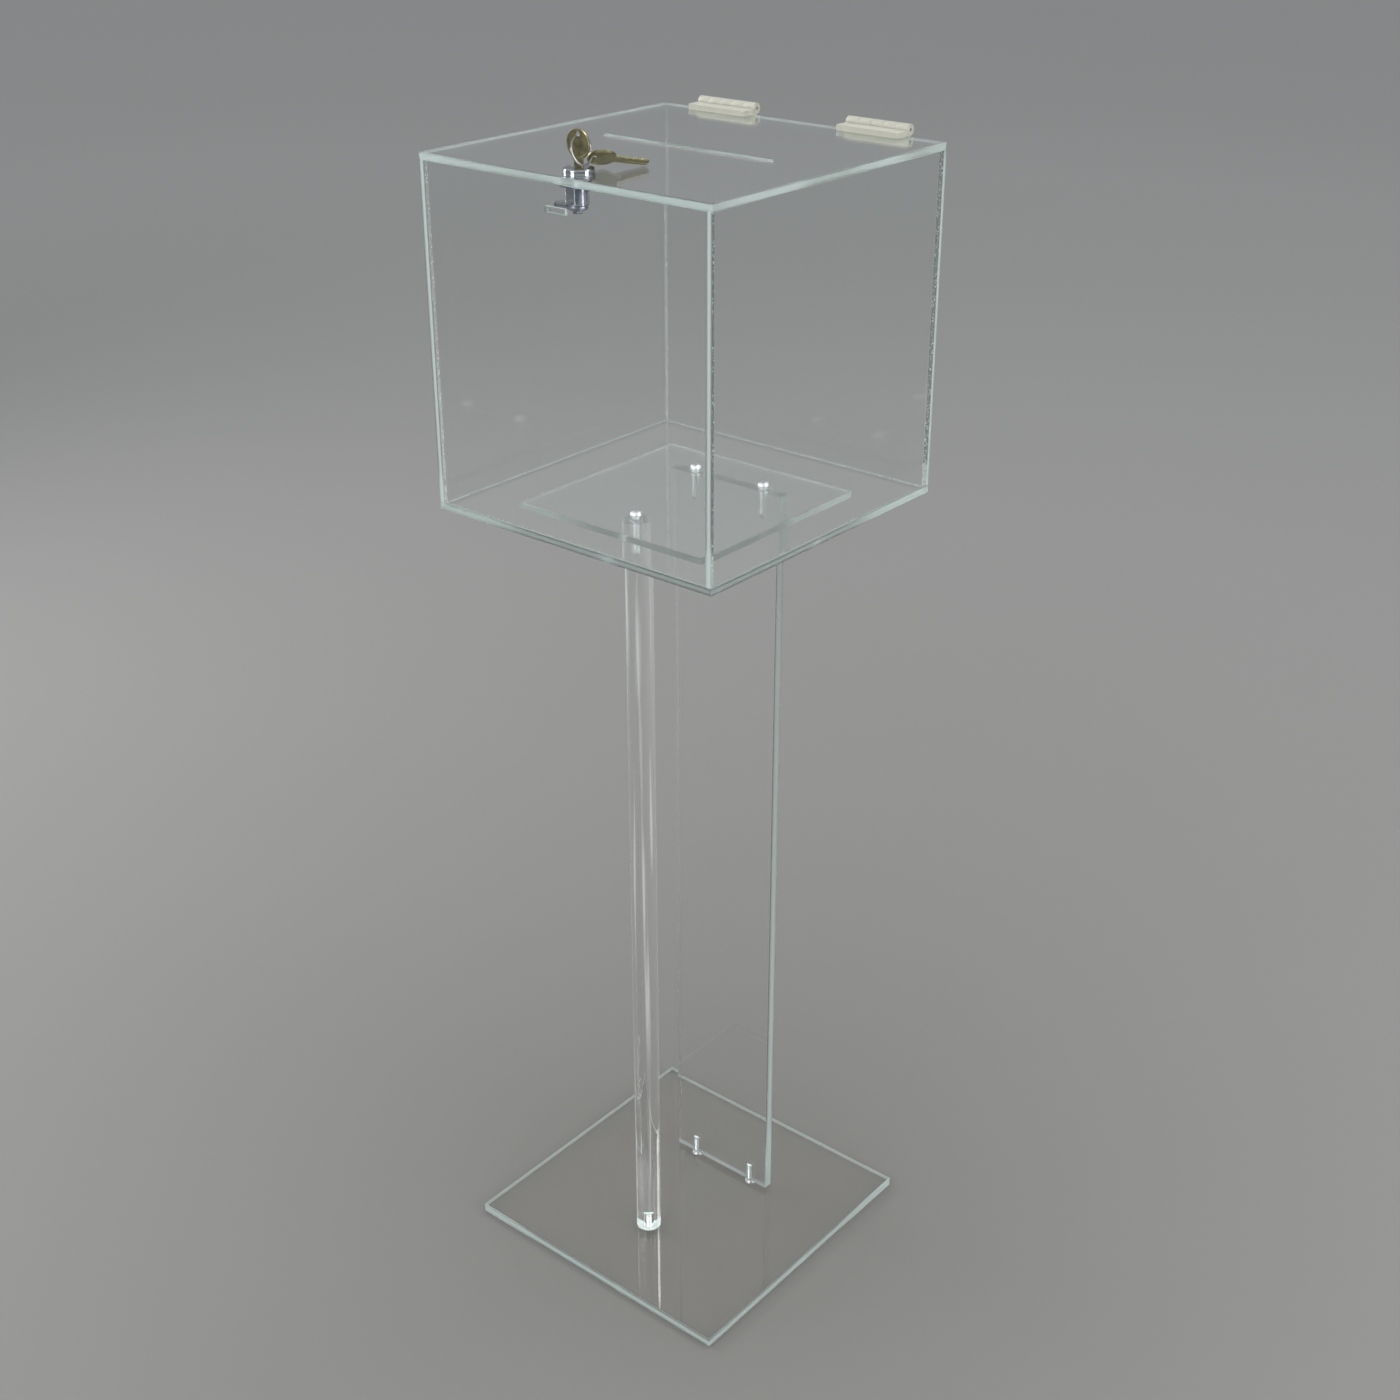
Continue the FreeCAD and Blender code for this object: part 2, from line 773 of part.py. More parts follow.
def make_leaf(label, x, on_lid):
    """One leaf of a hinge, about the hinge's axis.

    The lid leaf lies on the lid and has the knuckles between those of the wall leaf, which lies on
    the back wall. Beside the other leaf's knuckles a leaf stops short of the axis. A web joins each of
    its own knuckles to the leaf.
    """
    body = new_body(label)
    near = -(knuckle_radius + s.knuckle_gap)
    web_root = near - s.leaf_thickness
    far = -s.leaf_reach
    outside = -knuckle_radius
    inside = -s.leaf_fold_gap

    def across(sketch, along_low, along_high):
        """A rectangle from along_low to along_high from the axis, through the leaf's thickness."""
        if on_lid:
            rectangle(sketch, along_low, along_high, outside, inside)
        else:
            rectangle(sketch, outside, inside, along_low, along_high)

    strip_sketch = new_sketch(body, "YZ_Plane")
    across(strip_sketch, far, near)
    strip = pad(body, strip_sketch, s.hinge_length, both_ways=True)

    def at_far_end(edge):
        """Whether an edge is one of the two short ones at the leaf's free side."""
        middle = edge.CenterOfMass
        along = middle.y if on_lid else middle.z
        at_side = abs(abs(middle.x) - s.hinge_length.value / 2) < NEAR
        return abs(along - far.value) < NEAR and at_side

    round_edges(body, strip, edges_where(strip, at_far_end), s.leaf_corner)
    first = 1 if on_lid else 0
    count = HINGE_KNUCKLES // 2 if on_lid else (HINGE_KNUCKLES + 1) // 2
    start = knuckle_step * first - s.hinge_length / 2
    web_sketch = new_sketch(body, "YZ_Plane", start)
    across(web_sketch, web_root, as_size(0))
    web = pad(body, web_sketch, knuckle_length)
    knuckle_sketch = new_sketch(body, "YZ_Plane", start)
    circle(knuckle_sketch, 0, 0, knuckle_radius)
    knuckle = pad(body, knuckle_sketch, knuckle_length)
    repeat(body, [web, knuckle], "X_Axis", knuckle_step * 2, count)
    bore = new_sketch(body, "YZ_Plane")
    circle(bore, 0, 0, s.pin_diameter / 2 + s.pin_fit)
    pocket(body, bore)
    place(body, x, hinge_axis_y, hinge_axis_z)
    return body


def make_hinge_pin(label, x):
    """The pin through a hinge's knuckles."""
    pin = doc.addObject("Part::Cylinder", label)
    pin.Label = label
    length = s.hinge_length - 2 * s.pin_recess
    bind(pin, "Radius", s.pin_diameter / 2)
    bind(pin, "Height", length)
    along_x = FreeCAD.Rotation(VERTICAL, FreeCAD.Vector(1, 0, 0))
    place(pin, x - length / 2, hinge_axis_y, hinge_axis_z, along_x)
    return pin


def make_hinges():
    """Both hinges: lid leaf, wall leaf and pin each."""
    pieces = []
    for side, x in (("left", -hinge_x), ("right", hinge_x)):
        pieces.append(make_leaf(f"{side}_hinge_lid_leaf", x, on_lid=True))
        pieces.append(make_leaf(f"{side}_hinge_wall_leaf", x, on_lid=False))
        pieces.append(make_hinge_pin(f"{side}_hinge_pin", x))
    return pieces


# Lock. Each piece is drawn about the lock's axis, with z = 0 at the lid's top face.


def place_at_lock(item):
    """Put a lock piece at its place in the lid."""
    place(item, y=lock_y, z=s.total_height)


def turned_point(along, aside, angle):
    """A point given along and beside a direction that starts at the origin."""
    x = along * cosine(angle) - aside * sine(angle)
    y = along * sine(angle) + aside * cosine(angle)
    return x, y


def stop_half_angle():
    """Half the angle that the stop washer's lug takes up, at the middle of the skirt."""
    skirt_middle = (barrel_flats / 2 + barrel_radius) / 2
    angle = math.degrees(math.atan2(s.stop_lug_width.value / 2, skirt_middle.value))
    formula = f"(atan2({s.stop_lug_width.formula} / 2; {skirt_middle.formula}) / (1 deg))"
    return Size(angle, formula) + s.stop_slack


def make_lock_housing():
    """The lock's fixed shell: round head, barrel with two flats, bore, and skirt for the stop.

    The recess inside the skirt breaks through the flats by a hair, which leaves the skirt as two arcs.
    """
    body = new_body("lock_housing")
    profile = new_sketch(body, "XZ_Plane")
    flange_radius = plug_radius + s.plug_flange_rise + s.plug_fit
    flange_floor = s.lock_head_height - s.plug_flange_height - s.plug_end_gap
    outline(profile, ((bore_radius, barrel_end), (barrel_radius, barrel_end), (barrel_radius, 0),
                      (head_radius, 0), (head_radius, s.lock_head_height),
                      (flange_radius, s.lock_head_height), (flange_radius, flange_floor),
                      (bore_radius, flange_floor)))
    shell = revolve(body, profile)
    rim = edges_where(shell, lambda edge: is_round(edge, head_radius, s.lock_head_height))
    round_edges(body, shell, rim, s.lock_head_rounding)
    flats = new_sketch(body, "XY_Plane")
    beyond = barrel_radius + s.thread_rise
    rectangle(flats, -beyond, beyond, barrel_flats / 2, beyond)
    rectangle(flats, -beyond, beyond, -beyond, -barrel_flats / 2)
    pocket(body, flats, -barrel_end)
    recess = new_sketch(body, "XY_Plane", barrel_end)
    circle(recess, 0, 0, barrel_flats / 2 + s.screw_fit)
    pocket(body, recess, s.stop_skirt_height, up=True)
    window = new_sketch(body, "XY_Plane", barrel_end)
    opening_half = s.lock_turn / 2 + stop_half_angle()
    corners = [(as_size(0), as_size(0))]
    for share in (-1, -1 / 3, 1 / 3, 1):
        corners.append(turned_point(2 * barrel_radius, 0, FRONT_ANGLE + share * opening_half))
    outline(window, corners)
    pocket(body, window, s.stop_skirt_height, up=True)
    place_at_lock(body)
    return body


def make_lock_nut():
    """The hexagon nut that holds the lock against the lid's underside, its lower corners cut to a cone."""
    body = new_body("lock_nut")
    sketch = new_sketch(body, "XY_Plane", -s.sheet_thickness)
    hexagon(sketch, nut_width)
    pad(body, sketch, s.nut_height, down=True)
    bore = new_sketch(body, "XY_Plane")
    circle(bore, 0, 0, barrel_radius + s.screw_fit)
    pocket(body, bore)
    cone = new_sketch(body, "XZ_Plane")
    bottom = -(s.sheet_thickness + s.nut_height)
    inner = nut_width / 2 - s.arris
    outer = inner + 2 * (nut_corner_radius - inner)
    outline(cone, ((inner, bottom), (outer, bottom), (outer, bottom + 2 * s.nut_chamfer)))
    groove(body, cone)
    place_at_lock(body)
    return body


def wafer_z(number):
    """The height of a wafer's middle plane."""
    return s.lock_head_height - s.first_wafer - number * s.wafer_pitch


def make_lock_plug():
    """The turning core: flange, keyway, wafer slots, spring wells, square drive and the cam's screw hole."""
    body = new_body("lock_plug")
    profile = new_sketch(body, "XZ_Plane")
    flange_radius = plug_radius + s.plug_flange_rise
    flange_floor = s.lock_head_height - s.plug_flange_height
    outline(profile, ((0, plug_shoulder), (plug_radius, plug_shoulder), (plug_radius, flange_floor),
                      (flange_radius, flange_floor), (flange_radius, s.lock_head_height),
                      (0, s.lock_head_height)))
    revolve(body, profile)
    drive = new_sketch(body, "XY_Plane", plug_shoulder)
    rectangle(drive, -drive_width / 2, drive_width / 2, -drive_width / 2, drive_width / 2)
    pad(body, drive, plug_shoulder - drive_end, down=True)
    keyway = new_sketch(body, "XY_Plane", s.lock_head_height)
    half_width = s.blade_width / 2 + s.keyway_gap
    half_thickness = s.blade_thickness / 2 + s.keyway_gap
    rectangle(keyway, -half_width, half_width, -half_thickness, half_thickness)
    pocket(body, keyway, keyway_depth)
    slot = new_sketch(body, "YZ_Plane")
    slot_half_height = s.wafer_thickness / 2 + s.wafer_gap
    slot_half_width = wafer_half_width + s.wafer_gap
    for number in range(WAFER_COUNT):
        rectangle(slot, -slot_half_width, slot_half_width,
                  wafer_z(number) - slot_half_height, wafer_z(number) + slot_half_height)
    pocket(body, slot)
    well = new_sketch(body, "YZ_Plane", -s.spring_length / 2)
    for number in range(WAFER_COUNT):
        circle(well, spring_y, wafer_z(number), well_radius)
    pocket(body, well, s.spring_length + wafer_travel, up=True)
    screw_hole = new_sketch(body, "XY_Plane", drive_end)
    circle(screw_hole, 0, 0, s.cam_screw_diameter / 2 + s.screw_fit)
    pocket(body, screw_hole, cam_screw_hole_depth, up=True)
    place_at_lock(body)
    return body


def make_lock_wafers():
    """The row of flat brass wafers in the plug, each with a window round the blade and a spring's notch."""
    plates = []
    for number in range(WAFER_COUNT):
        blank = doc.addObject("Part::Box", f"wafer_blank_{number + 1}")
        bind(blank, "Length", 2 * wafer_half_height)
        bind(blank, "Width", 2 * wafer_half_width)
        bind(blank, "Height", s.wafer_thickness)
        place(blank, -wafer_half_height, lock_y - wafer_half_width,
              s.total_height + wafer_z(number) - s.wafer_thickness / 2)
        plates.append(blank)
    window = doc.addObject("Part::Box", "wafer_window")
    half_width = s.blade_width / 2 + s.window_gap
    half_thickness = s.blade_thickness / 2 + s.window_gap
    bind(window, "Length", 2 * half_width)
    bind(window, "Width", 2 * half_thickness)
    bind(window, "Height", keyway_depth)
    place(window, -half_width, lock_y - half_thickness,
          s.total_height + s.lock_head_height - keyway_depth)
    notch = doc.addObject("Part::Box", "wafer_notch")
    bind(notch, "Length", s.spring_length + wafer_travel)
    bind(notch, "Width", 2 * well_radius + s.wafer_gap)
    bind(notch, "Height", keyway_depth)
    place(notch, -s.spring_length / 2 - wafer_travel, lock_y + spring_y - well_radius,
          s.total_height + s.lock_head_height - keyway_depth)
    wafers = doc.addObject("Part::Cut", "lock_wafers")
    wafers.Label = "lock_wafers"
    wafers.Base = group("wafer_blanks", plates)
    wafers.Tool = group("wafer_openings", [window, notch])
    doc.recompute()
    return wafers


def arc_between(start, heading, end):
    """The arc that leaves a point along a heading and meets another point."""
    chord = end - start
    aside = (heading - chord * (heading.dot(chord) / chord.dot(chord))).normalize()
    rise = chord.Length / 2 * math.tan(heading.getAngle(chord) / 2)
    return Part.Arc(start, start + chord / 2 + aside * rise, end).toShape()


def coil_station(radius, pitch, half_turns):
    """Where a coil about the X axis has come to, and where it heads, after a count of half turns."""
    side = radius * (-1) ** half_turns
    place = FreeCAD.Vector(pitch * half_turns / 2, side, 0)
    heading = FreeCAD.Vector(pitch / math.tau, 0, side).normalize()
    return place, heading


def coil_path(radius, pitch, turns):
    """A coil about the X axis. Each half turn is two arcs that run on into each other and the next."""
    edges = []
    for number in range(2 * turns):
        start, leaving = coil_station(radius, pitch, number)
        end, arriving = coil_station(radius, pitch, number + 1)
        chord = end - start
        along = chord.dot(leaving + arriving)
        spread = 2 * (1 - leaving.dot(arriving))
        reach = (math.sqrt(along * along + spread * chord.dot(chord)) - along) / spread
        first = start + leaving * reach
        last = end - arriving * reach
        middle = (first + last) / 2
        edges.append(arc_between(start, leaving, middle))
        edges.append(arc_between(middle, last - first, end))
    return Part.Wire(edges)


def make_wafer_springs():
    """The coil springs that push the wafers, one lying along X beside the blade at each wafer."""
    radius = (s.spring_diameter.value - s.spring_wire.value) / 2
    inset = s.spring_gap + s.spring_wire / 2
    pitch = (s.spring_length - 2 * inset).value / SPRING_TURNS
    start, heading = coil_station(radius, pitch, 0)
    section = Part.Wire([Part.makeCircle(s.spring_wire.value / 2, start, heading)])
    coil = coil_path(radius, pitch, SPRING_TURNS).makePipeShell([section], True, False)
    springs = []
    for number in range(WAFER_COUNT):
        spring = doc.addObject("Part::Feature", f"wafer_spring_{number + 1}")
        spring.Shape = coil
        place(spring, inset - s.spring_length / 2, lock_y + spring_y, s.total_height + wafer_z(number))
        springs.append(spring)
    return group("wafer_springs", springs)


def square_hole(body):
    """The hole that fits a piece on the plug's square drive."""
    sketch = new_sketch(body, "XY_Plane")
    half = drive_width / 2 + s.drive_fit
    rectangle(sketch, -half, half, -half, half)
    pocket(body, sketch)


def make_stop_washer():
    """The washer on the drive whose lug runs between the ends of the housing's skirt."""
    body = new_body("stop_washer")
    disc = new_sketch(body, "XY_Plane", plug_shoulder)
    disc_radius = barrel_flats / 2 - s.stop_skirt_gap
    circle(disc, 0, 0, disc_radius)
    pad(body, disc, s.stop_washer_thickness, down=True)
    lug = new_sketch(body, "XY_Plane", plug_shoulder)
    half = s.stop_lug_width / 2
    start = disc_radius - half
    end = barrel_radius - s.stop_skirt_gap
    outline(lug, (turned_point(start, -half, lug_angle), turned_point(end, -half, lug_angle),
                  turned_point(end, half, lug_angle), turned_point(start, half, lug_angle)))
    pad(body, lug, s.stop_washer_thickness, down=True)
    square_hole(body)
    place_at_lock(body)
    return body


def make_lock_cam():
    """The cam: a hub on the square drive and an arm that points to -X when the lid is free."""
    body = new_body("lock_cam")
    hub = new_sketch(body, "XY_Plane", cam_top)
    circle(hub, 0, 0, drive_corner + s.cam_hub_wall)
    pad(body, hub, s.cam_thickness, down=True)
    arm = new_sketch(body, "XY_Plane", cam_top)
    rounded_slot(arm, -cam_reach, cam_tip_radius, cam_tip_radius)
    pad(body, arm, s.cam_thickness, down=True)
    square_hole(body)
    place_at_lock(body)
    return body


def make_cam_screw():
    """The flanged hexagon screw that clamps the cam to the plug."""
    body = new_body("cam_screw")
    profile = new_sketch(body, "XZ_Plane")
    shank = s.cam_screw_diameter / 2
    flange = drive_corner + s.cam_screw_flange
    under = cam_bottom - s.cam_screw_flange
    tip = drive_end + cam_screw_hole_depth - s.cam_screw_flange
    outline(profile, ((0, under), (flange, under), (flange, cam_bottom), (shank, cam_bottom),
                      (shank, tip), (0, tip)))
    revolve(body, profile)
    head = new_sketch(body, "XY_Plane", under)
    hexagon(head, s.cam_screw_head_width)
    pad(body, head, s.cam_screw_head_height, down=True)
    place_at_lock(body)
    return body


# Keys. A key is drawn in the XZ plane, bow up, with z = 0 at the shoulder above the blade.


def blade_outline():
    """The blade's outline: a plain back, a pointed tip, and one bitting notch at each wafer."""
    half = s.blade_width / 2
    points = [(-half, 0), (-half, s.blade_point - blade_length), (s.blade_point - half, -blade_length),
              (half - s.blade_point, -blade_length), (half, s.blade_point - blade_length)]
    notch_half = s.wafer_pitch / 4
    for number in reversed(range(WAFER_COUNT)):
        z = -(s.first_wafer + number * s.wafer_pitch) - s.key_gap
        depth = BITTING[number] * s.wafer_wall
        points.append((half, z - notch_half))
        points.append((half - depth, z - s.wafer_thickness / 4))
        points.append((half - depth, z + s.wafer_thickness / 4))
        points.append((half, z + notch_half))
    points.append((half, 0))
    return points


def make_key(label):
    """A flat key: blade, neck, and a round bow with a hole for the ring."""
    body = new_body(label)
    blade = new_sketch(body, "XZ_Plane")
    outline(blade, blade_outline())
    pad(body, blade, s.blade_thickness, both_ways=True)
    neck = new_sketch(body, "XZ_Plane")
    rectangle(neck, -s.neck_width / 2, s.neck_width / 2, 0, bow_centre)
    pad(body, neck, s.blade_thickness, both_ways=True)
    bow = new_sketch(body, "XZ_Plane")
    circle(bow, 0, bow_centre, bow_radius)
    head = pad(body, bow, s.blade_thickness, both_ways=True)
    rim = edges_where(head, lambda edge: is_round(edge, bow_radius))
    round_edges(body, head, rim, s.bow_edge)
    hole = new_sketch(body, "XZ_Plane")
    circle(hole, 0, bow_hole_rise, s.bow_hole_diameter / 2)
    pocket(body, hole)
    return body


def ring_frame():
    """Where the ring hangs and where the spare key sits on it.

    The ring's wire passes level through the hole of the standing key and rests on the hole's lower edge.
    Its middle lies down towards +X, low enough for the wire at the spare key to be at its height above
    the lid. Returned are the middle of the wire in the standing key, the direction from it to the ring's
    middle, the middle of the wire in the spare key and the direction of the wire there.
    """
    play = (s.bow_hole_diameter.value - s.ring_wire.value) / 2 - s.ring_gap.value
    hang = FreeCAD.Vector(0, lock_y.value, key_z.value + bow_hole_rise.value - play)
    station = math.radians(s.ring_station.value)
    radius = s.ring_diameter.value / 2
    drop = hang.z - s.total_height.value - s.spare_wire_height.value
    lean = math.asin(drop / (radius * (1 - math.cos(station))))
    towards = FreeCAD.Vector(math.cos(lean), 0, -math.sin(lean))
    spot = hang + towards * (radius * (1 - math.cos(station))) + BACKWARD * (radius * math.sin(station))
    wire = BACKWARD * math.cos(station) + towards * math.sin(station)
    return hang, towards, spot, wire


def make_key_ring():
    """The wire ring through the bows of both keys."""
    ring = doc.addObject("Part::Torus", "key_ring")
    ring.Label = "key_ring"
    bind(ring, "Radius1", s.ring_diameter / 2)
    bind(ring, "Radius2", s.ring_wire / 2)
    hang, towards, _, _ = ring_frame()
    turn = FreeCAD.Rotation(VERTICAL, towards.cross(BACKWARD))
    ring.Placement = FreeCAD.Placement(hang + towards * (s.ring_diameter.value / 2), turn)
    return ring


def spare_key_lean(hole_height, roll):
    """How far the spare key tips down from its hole to bring its tip's lower corner to the lid.

    The tip has two corners on its lower side, before and after its point's slope. The one that
    reaches the lid first decides.
    """
    leans = []
    half_blade = s.blade_width.value / 2
    slope = s.blade_point.value
    tip = bow_hole_rise.value + blade_length.value
    for along, aside in ((tip, half_blade - slope), (tip - slope, half_blade)):
        below = aside * math.sin(roll) + s.blade_thickness.value / 2 * math.cos(roll)
        reach = math.hypot(along, below)
        leans.append(math.asin((hole_height - s.spare_gap.value) / reach) - math.atan2(below, along))
    return min(leans)


def spare_key_placement():
    """The spare key hangs on the ring and leans on the lid with its tip."""
    _, _, spot, wire = ring_frame()
    heading = math.radians(s.spare_heading.value)
    roll = math.radians(s.spare_roll.value)
    level = FreeCAD.Vector(math.cos(heading), math.sin(heading), 0)
    hole_height = s.spare_wire_height.value
    for _ in range(LEAN_ROUNDS):
        dip = spare_key_lean(hole_height, roll)
        tipward = level * math.cos(dip) - VERTICAL * math.sin(dip)
        side = tipward.cross(VERTICAL).normalize()
        above = side.cross(tipward)
        face = above * math.cos(roll) - side * math.sin(roll)
        slant = math.tan(wire.getAngle(face) if wire.dot(face) > 0 else wire.getAngle(-face))
        play = (s.bow_hole_diameter.value - s.ring_wire.value) / 2 - s.ring_gap.value
        play = max(play - s.blade_thickness.value / 2 * slant, 0)
        hole_height = s.spare_wire_height.value - play * math.sin(dip)
    across = face.cross(-tipward)
    turn = FreeCAD.Rotation(across, face, -tipward, "ZYX")
    hole = spot + tipward * play
    return FreeCAD.Placement(hole + tipward * bow_hole_rise.value, turn)


def make_keys():
    """The key in the lock and the spare key on the ring."""
    key = make_key("key")
    place(key, y=lock_y, z=key_z)
    spare = make_key("spare_key")
    spare.Placement = spare_key_placement()
    return key, spare


def make_parts():
    """Every sub-part that is written to a file."""
    parts = [make_base_plate(), make_front_rod(), make_rear_panel(), make_head_plate()]
    parts += [make_base_screws(), make_head_screws(), make_box_floor()]
    parts += [make_front_wall(), make_back_wall(), *make_side_walls(), make_lid()]
    parts += make_hinges()
    parts += [make_lock_housing(), make_lock_nut(), make_lock_plug()]
    parts += [make_lock_wafers(), make_wafer_springs()]
    parts += [make_stop_washer(), make_lock_cam(), make_cam_screw()]
    parts += [*make_keys(), make_key_ring()]
    doc.recompute()
    return parts


def check(parts):
    """Stop if any object failed or any sub-part has no sound shape."""
    for item in doc.Objects:
        if "Invalid" in item.State or "Error" in item.State:
            raise RuntimeError(f"{item.Label} failed: {item.State}")
    for part in parts:
        if part.Shape.isNull() or not part.Shape.isValid():
            raise RuntimeError(f"{part.Label} has no valid shape")
        if not part.Shape.Solids:
            raise RuntimeError(f"{part.Label} holds no solid")


PARTS = make_parts()
check(PARTS)
os.makedirs("parts", exist_ok=True)
for part in PARTS:
    part.Shape.exportStep(f"parts/{part.Label}.step")
    print(part.Label, len(part.Shape.Solids), round(part.Shape.Volume, 1))
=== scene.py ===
"""Looks of a clear acrylic ballot box on its pedestal, in metres, in the part's own frame.

The sheets, the rod, the hinges and the lock's plain pieces keep their solids and get their materials
here. The screws, the lock's threaded shell, both keys and the split ring are modelled here in full, and
so are the cement beads along the glued corners.
"""

from collections import namedtuple
import json
import math
import random

import bmesh
import bpy
import numpy as np
from mathutils import Matrix, Vector


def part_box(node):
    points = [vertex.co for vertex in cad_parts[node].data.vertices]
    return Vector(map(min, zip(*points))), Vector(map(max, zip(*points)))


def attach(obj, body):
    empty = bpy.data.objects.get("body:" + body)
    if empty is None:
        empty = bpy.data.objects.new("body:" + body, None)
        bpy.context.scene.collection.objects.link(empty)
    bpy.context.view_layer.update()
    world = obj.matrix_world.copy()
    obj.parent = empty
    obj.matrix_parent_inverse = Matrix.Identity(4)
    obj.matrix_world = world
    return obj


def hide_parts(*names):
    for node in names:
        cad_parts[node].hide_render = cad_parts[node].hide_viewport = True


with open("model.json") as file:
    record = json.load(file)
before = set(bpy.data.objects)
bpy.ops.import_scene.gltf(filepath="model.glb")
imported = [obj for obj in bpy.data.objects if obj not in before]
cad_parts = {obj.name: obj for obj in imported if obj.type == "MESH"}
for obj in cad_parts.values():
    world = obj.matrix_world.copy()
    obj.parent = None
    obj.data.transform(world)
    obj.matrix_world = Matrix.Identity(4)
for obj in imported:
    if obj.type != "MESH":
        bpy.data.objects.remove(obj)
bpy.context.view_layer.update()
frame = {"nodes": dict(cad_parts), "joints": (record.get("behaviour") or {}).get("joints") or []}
MM = 0.001
TAU = math.tau

# Colours, linear
CLEAR = (0.985, 0.995, 0.99)
CUT_EDGE = (0.62, 0.71, 0.685)
JOINT = (0.84, 0.88, 0.86)
SEAT = (0.23, 0.25, 0.245)
SEAT_PATCH = (0.28, 0.305, 0.30)
MILKY = (0.72, 0.71, 0.60)
MILKY_CLOUD = (0.80, 0.80, 0.73)
CEMENT = (0.93, 0.94, 0.84)
STEEL = (0.72, 0.73, 0.75)
# The floor's two colours: darker near the box as painted shade, paler far off as painted light
FLOOR_NEAR = (0.142, 0.139, 0.131)
FLOOR_FAR = (0.345, 0.345, 0.340)
WHITE = (1.0, 1.0, 1.0)

# What a face leaves of the light that goes straight through it
FACE_SHADOW = (0.97, 0.985, 0.98)
BASE_SHADOW = (0.82, 0.80, 0.785)
EDGE_SHADOW = (0.50, 0.56, 0.54)
MILKY_SHADOW = (0.45, 0.44, 0.38)
CEMENT_SHADOW = (0.80, 0.80, 0.75)

# Indices of refraction, and the usual strength of a surface's mirror reflection
ACRYLIC_IOR = 1.49
MILKY_IOR = 1.50
CEMENT_IOR = 1.47
MIRROR = 0.5

# Roughness, and clarity, which is the share of the light that goes on into a piece. A pair is for the
# places without a surface's marks and for the marks themselves.
POLISHED_ROUGHNESS = (0.004, 0.03)
SAWN_ROUGHNESS = (0.22, 0.42)
SAWN_CLARITY = (0.06, 0.30)
FLANK_CLARITY = 0.70
JOINT_ROUGHNESS = (0.03, 0.3)
JOINT_CLARITY = (0.80, 0.45)
SEAT_ROUGHNESS = 0.5
HAZE_ROUGHNESS = 0.3
MILKY_ROUGHNESS = (0.28, 0.42)
MILKY_CLARITY = (0.40, 0.60)
CEMENT_ROUGHNESS = (0.08, 0.4)
CEMENT_CLARITY = (0.97, 0.7)
FLOOR_ROUGHNESS = 0.85

# Where a cut edge changes from its flank to its core, in halves of the thickness out from the middle
FLANK = 0.90
CORE = 0.25
THICKEST_SHEET = 12.0 * MM
END_DEPTH = 0.5 * MM
SQUARE = 0.6

# The floor's colour changes between two distances from the origin, in metres, along a curve: darker near
# the box as painted shade, and paler far off as painted light where the lamps' light falls away
FLOOR_FADE = (0.2, 5.5)
FLOOR_FADE_POWER = 0.7
FLOOR_PATCH_STRENGTH = 0.012

# Marks in a surface: the noise's waves per metre, detail and stretch of coordinates, the noise at which
# marks begin and are whole, and the strength and depth of their relief
Marks = namedtuple("Marks", "waves detail stretch begin whole strength depth",
                   defaults=(3.0, (1, 1, 1), None, None, 0.0, 0.0))
SCRATCHES = Marks(900.0, stretch=(1, 6, 1), begin=0.62, whole=0.75, strength=0.012, depth=0.2 * MM)
SMEARS = Marks(9.0, begin=0.45, whole=0.7)
SAW_MARKS = Marks(260.0, stretch=(1, 1, 9))
JOINT_BUBBLES = Marks(700.0, detail=1.0, begin=0.60, whole=0.66)
SEAT_PATCHES = Marks(400.0, detail=2.0, begin=0.35, whole=0.65)
# Streaks: partly drawn marks, partly painted highlights of light bent through the rod
STREAKS_AND_HIGHLIGHTS = Marks(190.0, detail=1.0, stretch=(1, 1, 0.02), begin=0.60, whole=0.72)
CLOUDS = Marks(160.0)
MILKY_GRAIN = Marks(2500.0, detail=2.0, strength=0.08, depth=0.1 * MM)
CEMENT_BUBBLES = Marks(1400.0, detail=1.0, begin=0.58, whole=0.64)
CEMENT_LUMPS = Marks(500.0, strength=0.3, depth=0.2 * MM)
WEAR = Marks(220.0)
PLAIN_GRAIN = Marks(900.0, strength=0.06, depth=0.1 * MM)
DRAWN_GRAIN = PLAIN_GRAIN._replace(stretch=(1, 12, 12))
WIRE_GRAIN = PLAIN_GRAIN._replace(waves=6000.0)
FLOOR_PATCHES = Marks(1.3)
FLOOR_GRAIN = Marks(400.0, strength=0.03, depth=0.5 * MM)

# Metals: the colour, the colour of worn patches, the least and greatest roughness, and the grain. Wear
# shows between two values of its noise.
WORN = (0.3, 0.8)
Metal = namedtuple("Metal", "colour worn smooth rough grain", defaults=(PLAIN_GRAIN,))
METALS = {
    "hinge_pin_steel": Metal(STEEL, (0.50, 0.51, 0.53), 0.18, 0.35, DRAWN_GRAIN),
    "bright_screw_steel": Metal(STEEL, (0.80, 0.81, 0.83), 0.24, 0.40),
    "spring_steel": Metal(STEEL, (0.42, 0.42, 0.43), 0.22, 0.40, WIRE_GRAIN),
    "ring_steel": Metal((0.38, 0.38, 0.37), (0.26, 0.26, 0.25), 0.22, 0.40),
    "bright_chrome": Metal((0.50, 0.52, 0.57), (0.30, 0.32, 0.36), 0.07, 0.18),
    "zinc_plating": Metal((0.20, 0.22, 0.27), (0.34, 0.36, 0.40), 0.20, 0.38),
    "key_brass": Metal((0.22, 0.20, 0.11), (0.35, 0.32, 0.19), 0.24, 0.42),
    "wafer_brass": Metal((0.72, 0.55, 0.26), (0.60, 0.44, 0.20), 0.25, 0.40),
}


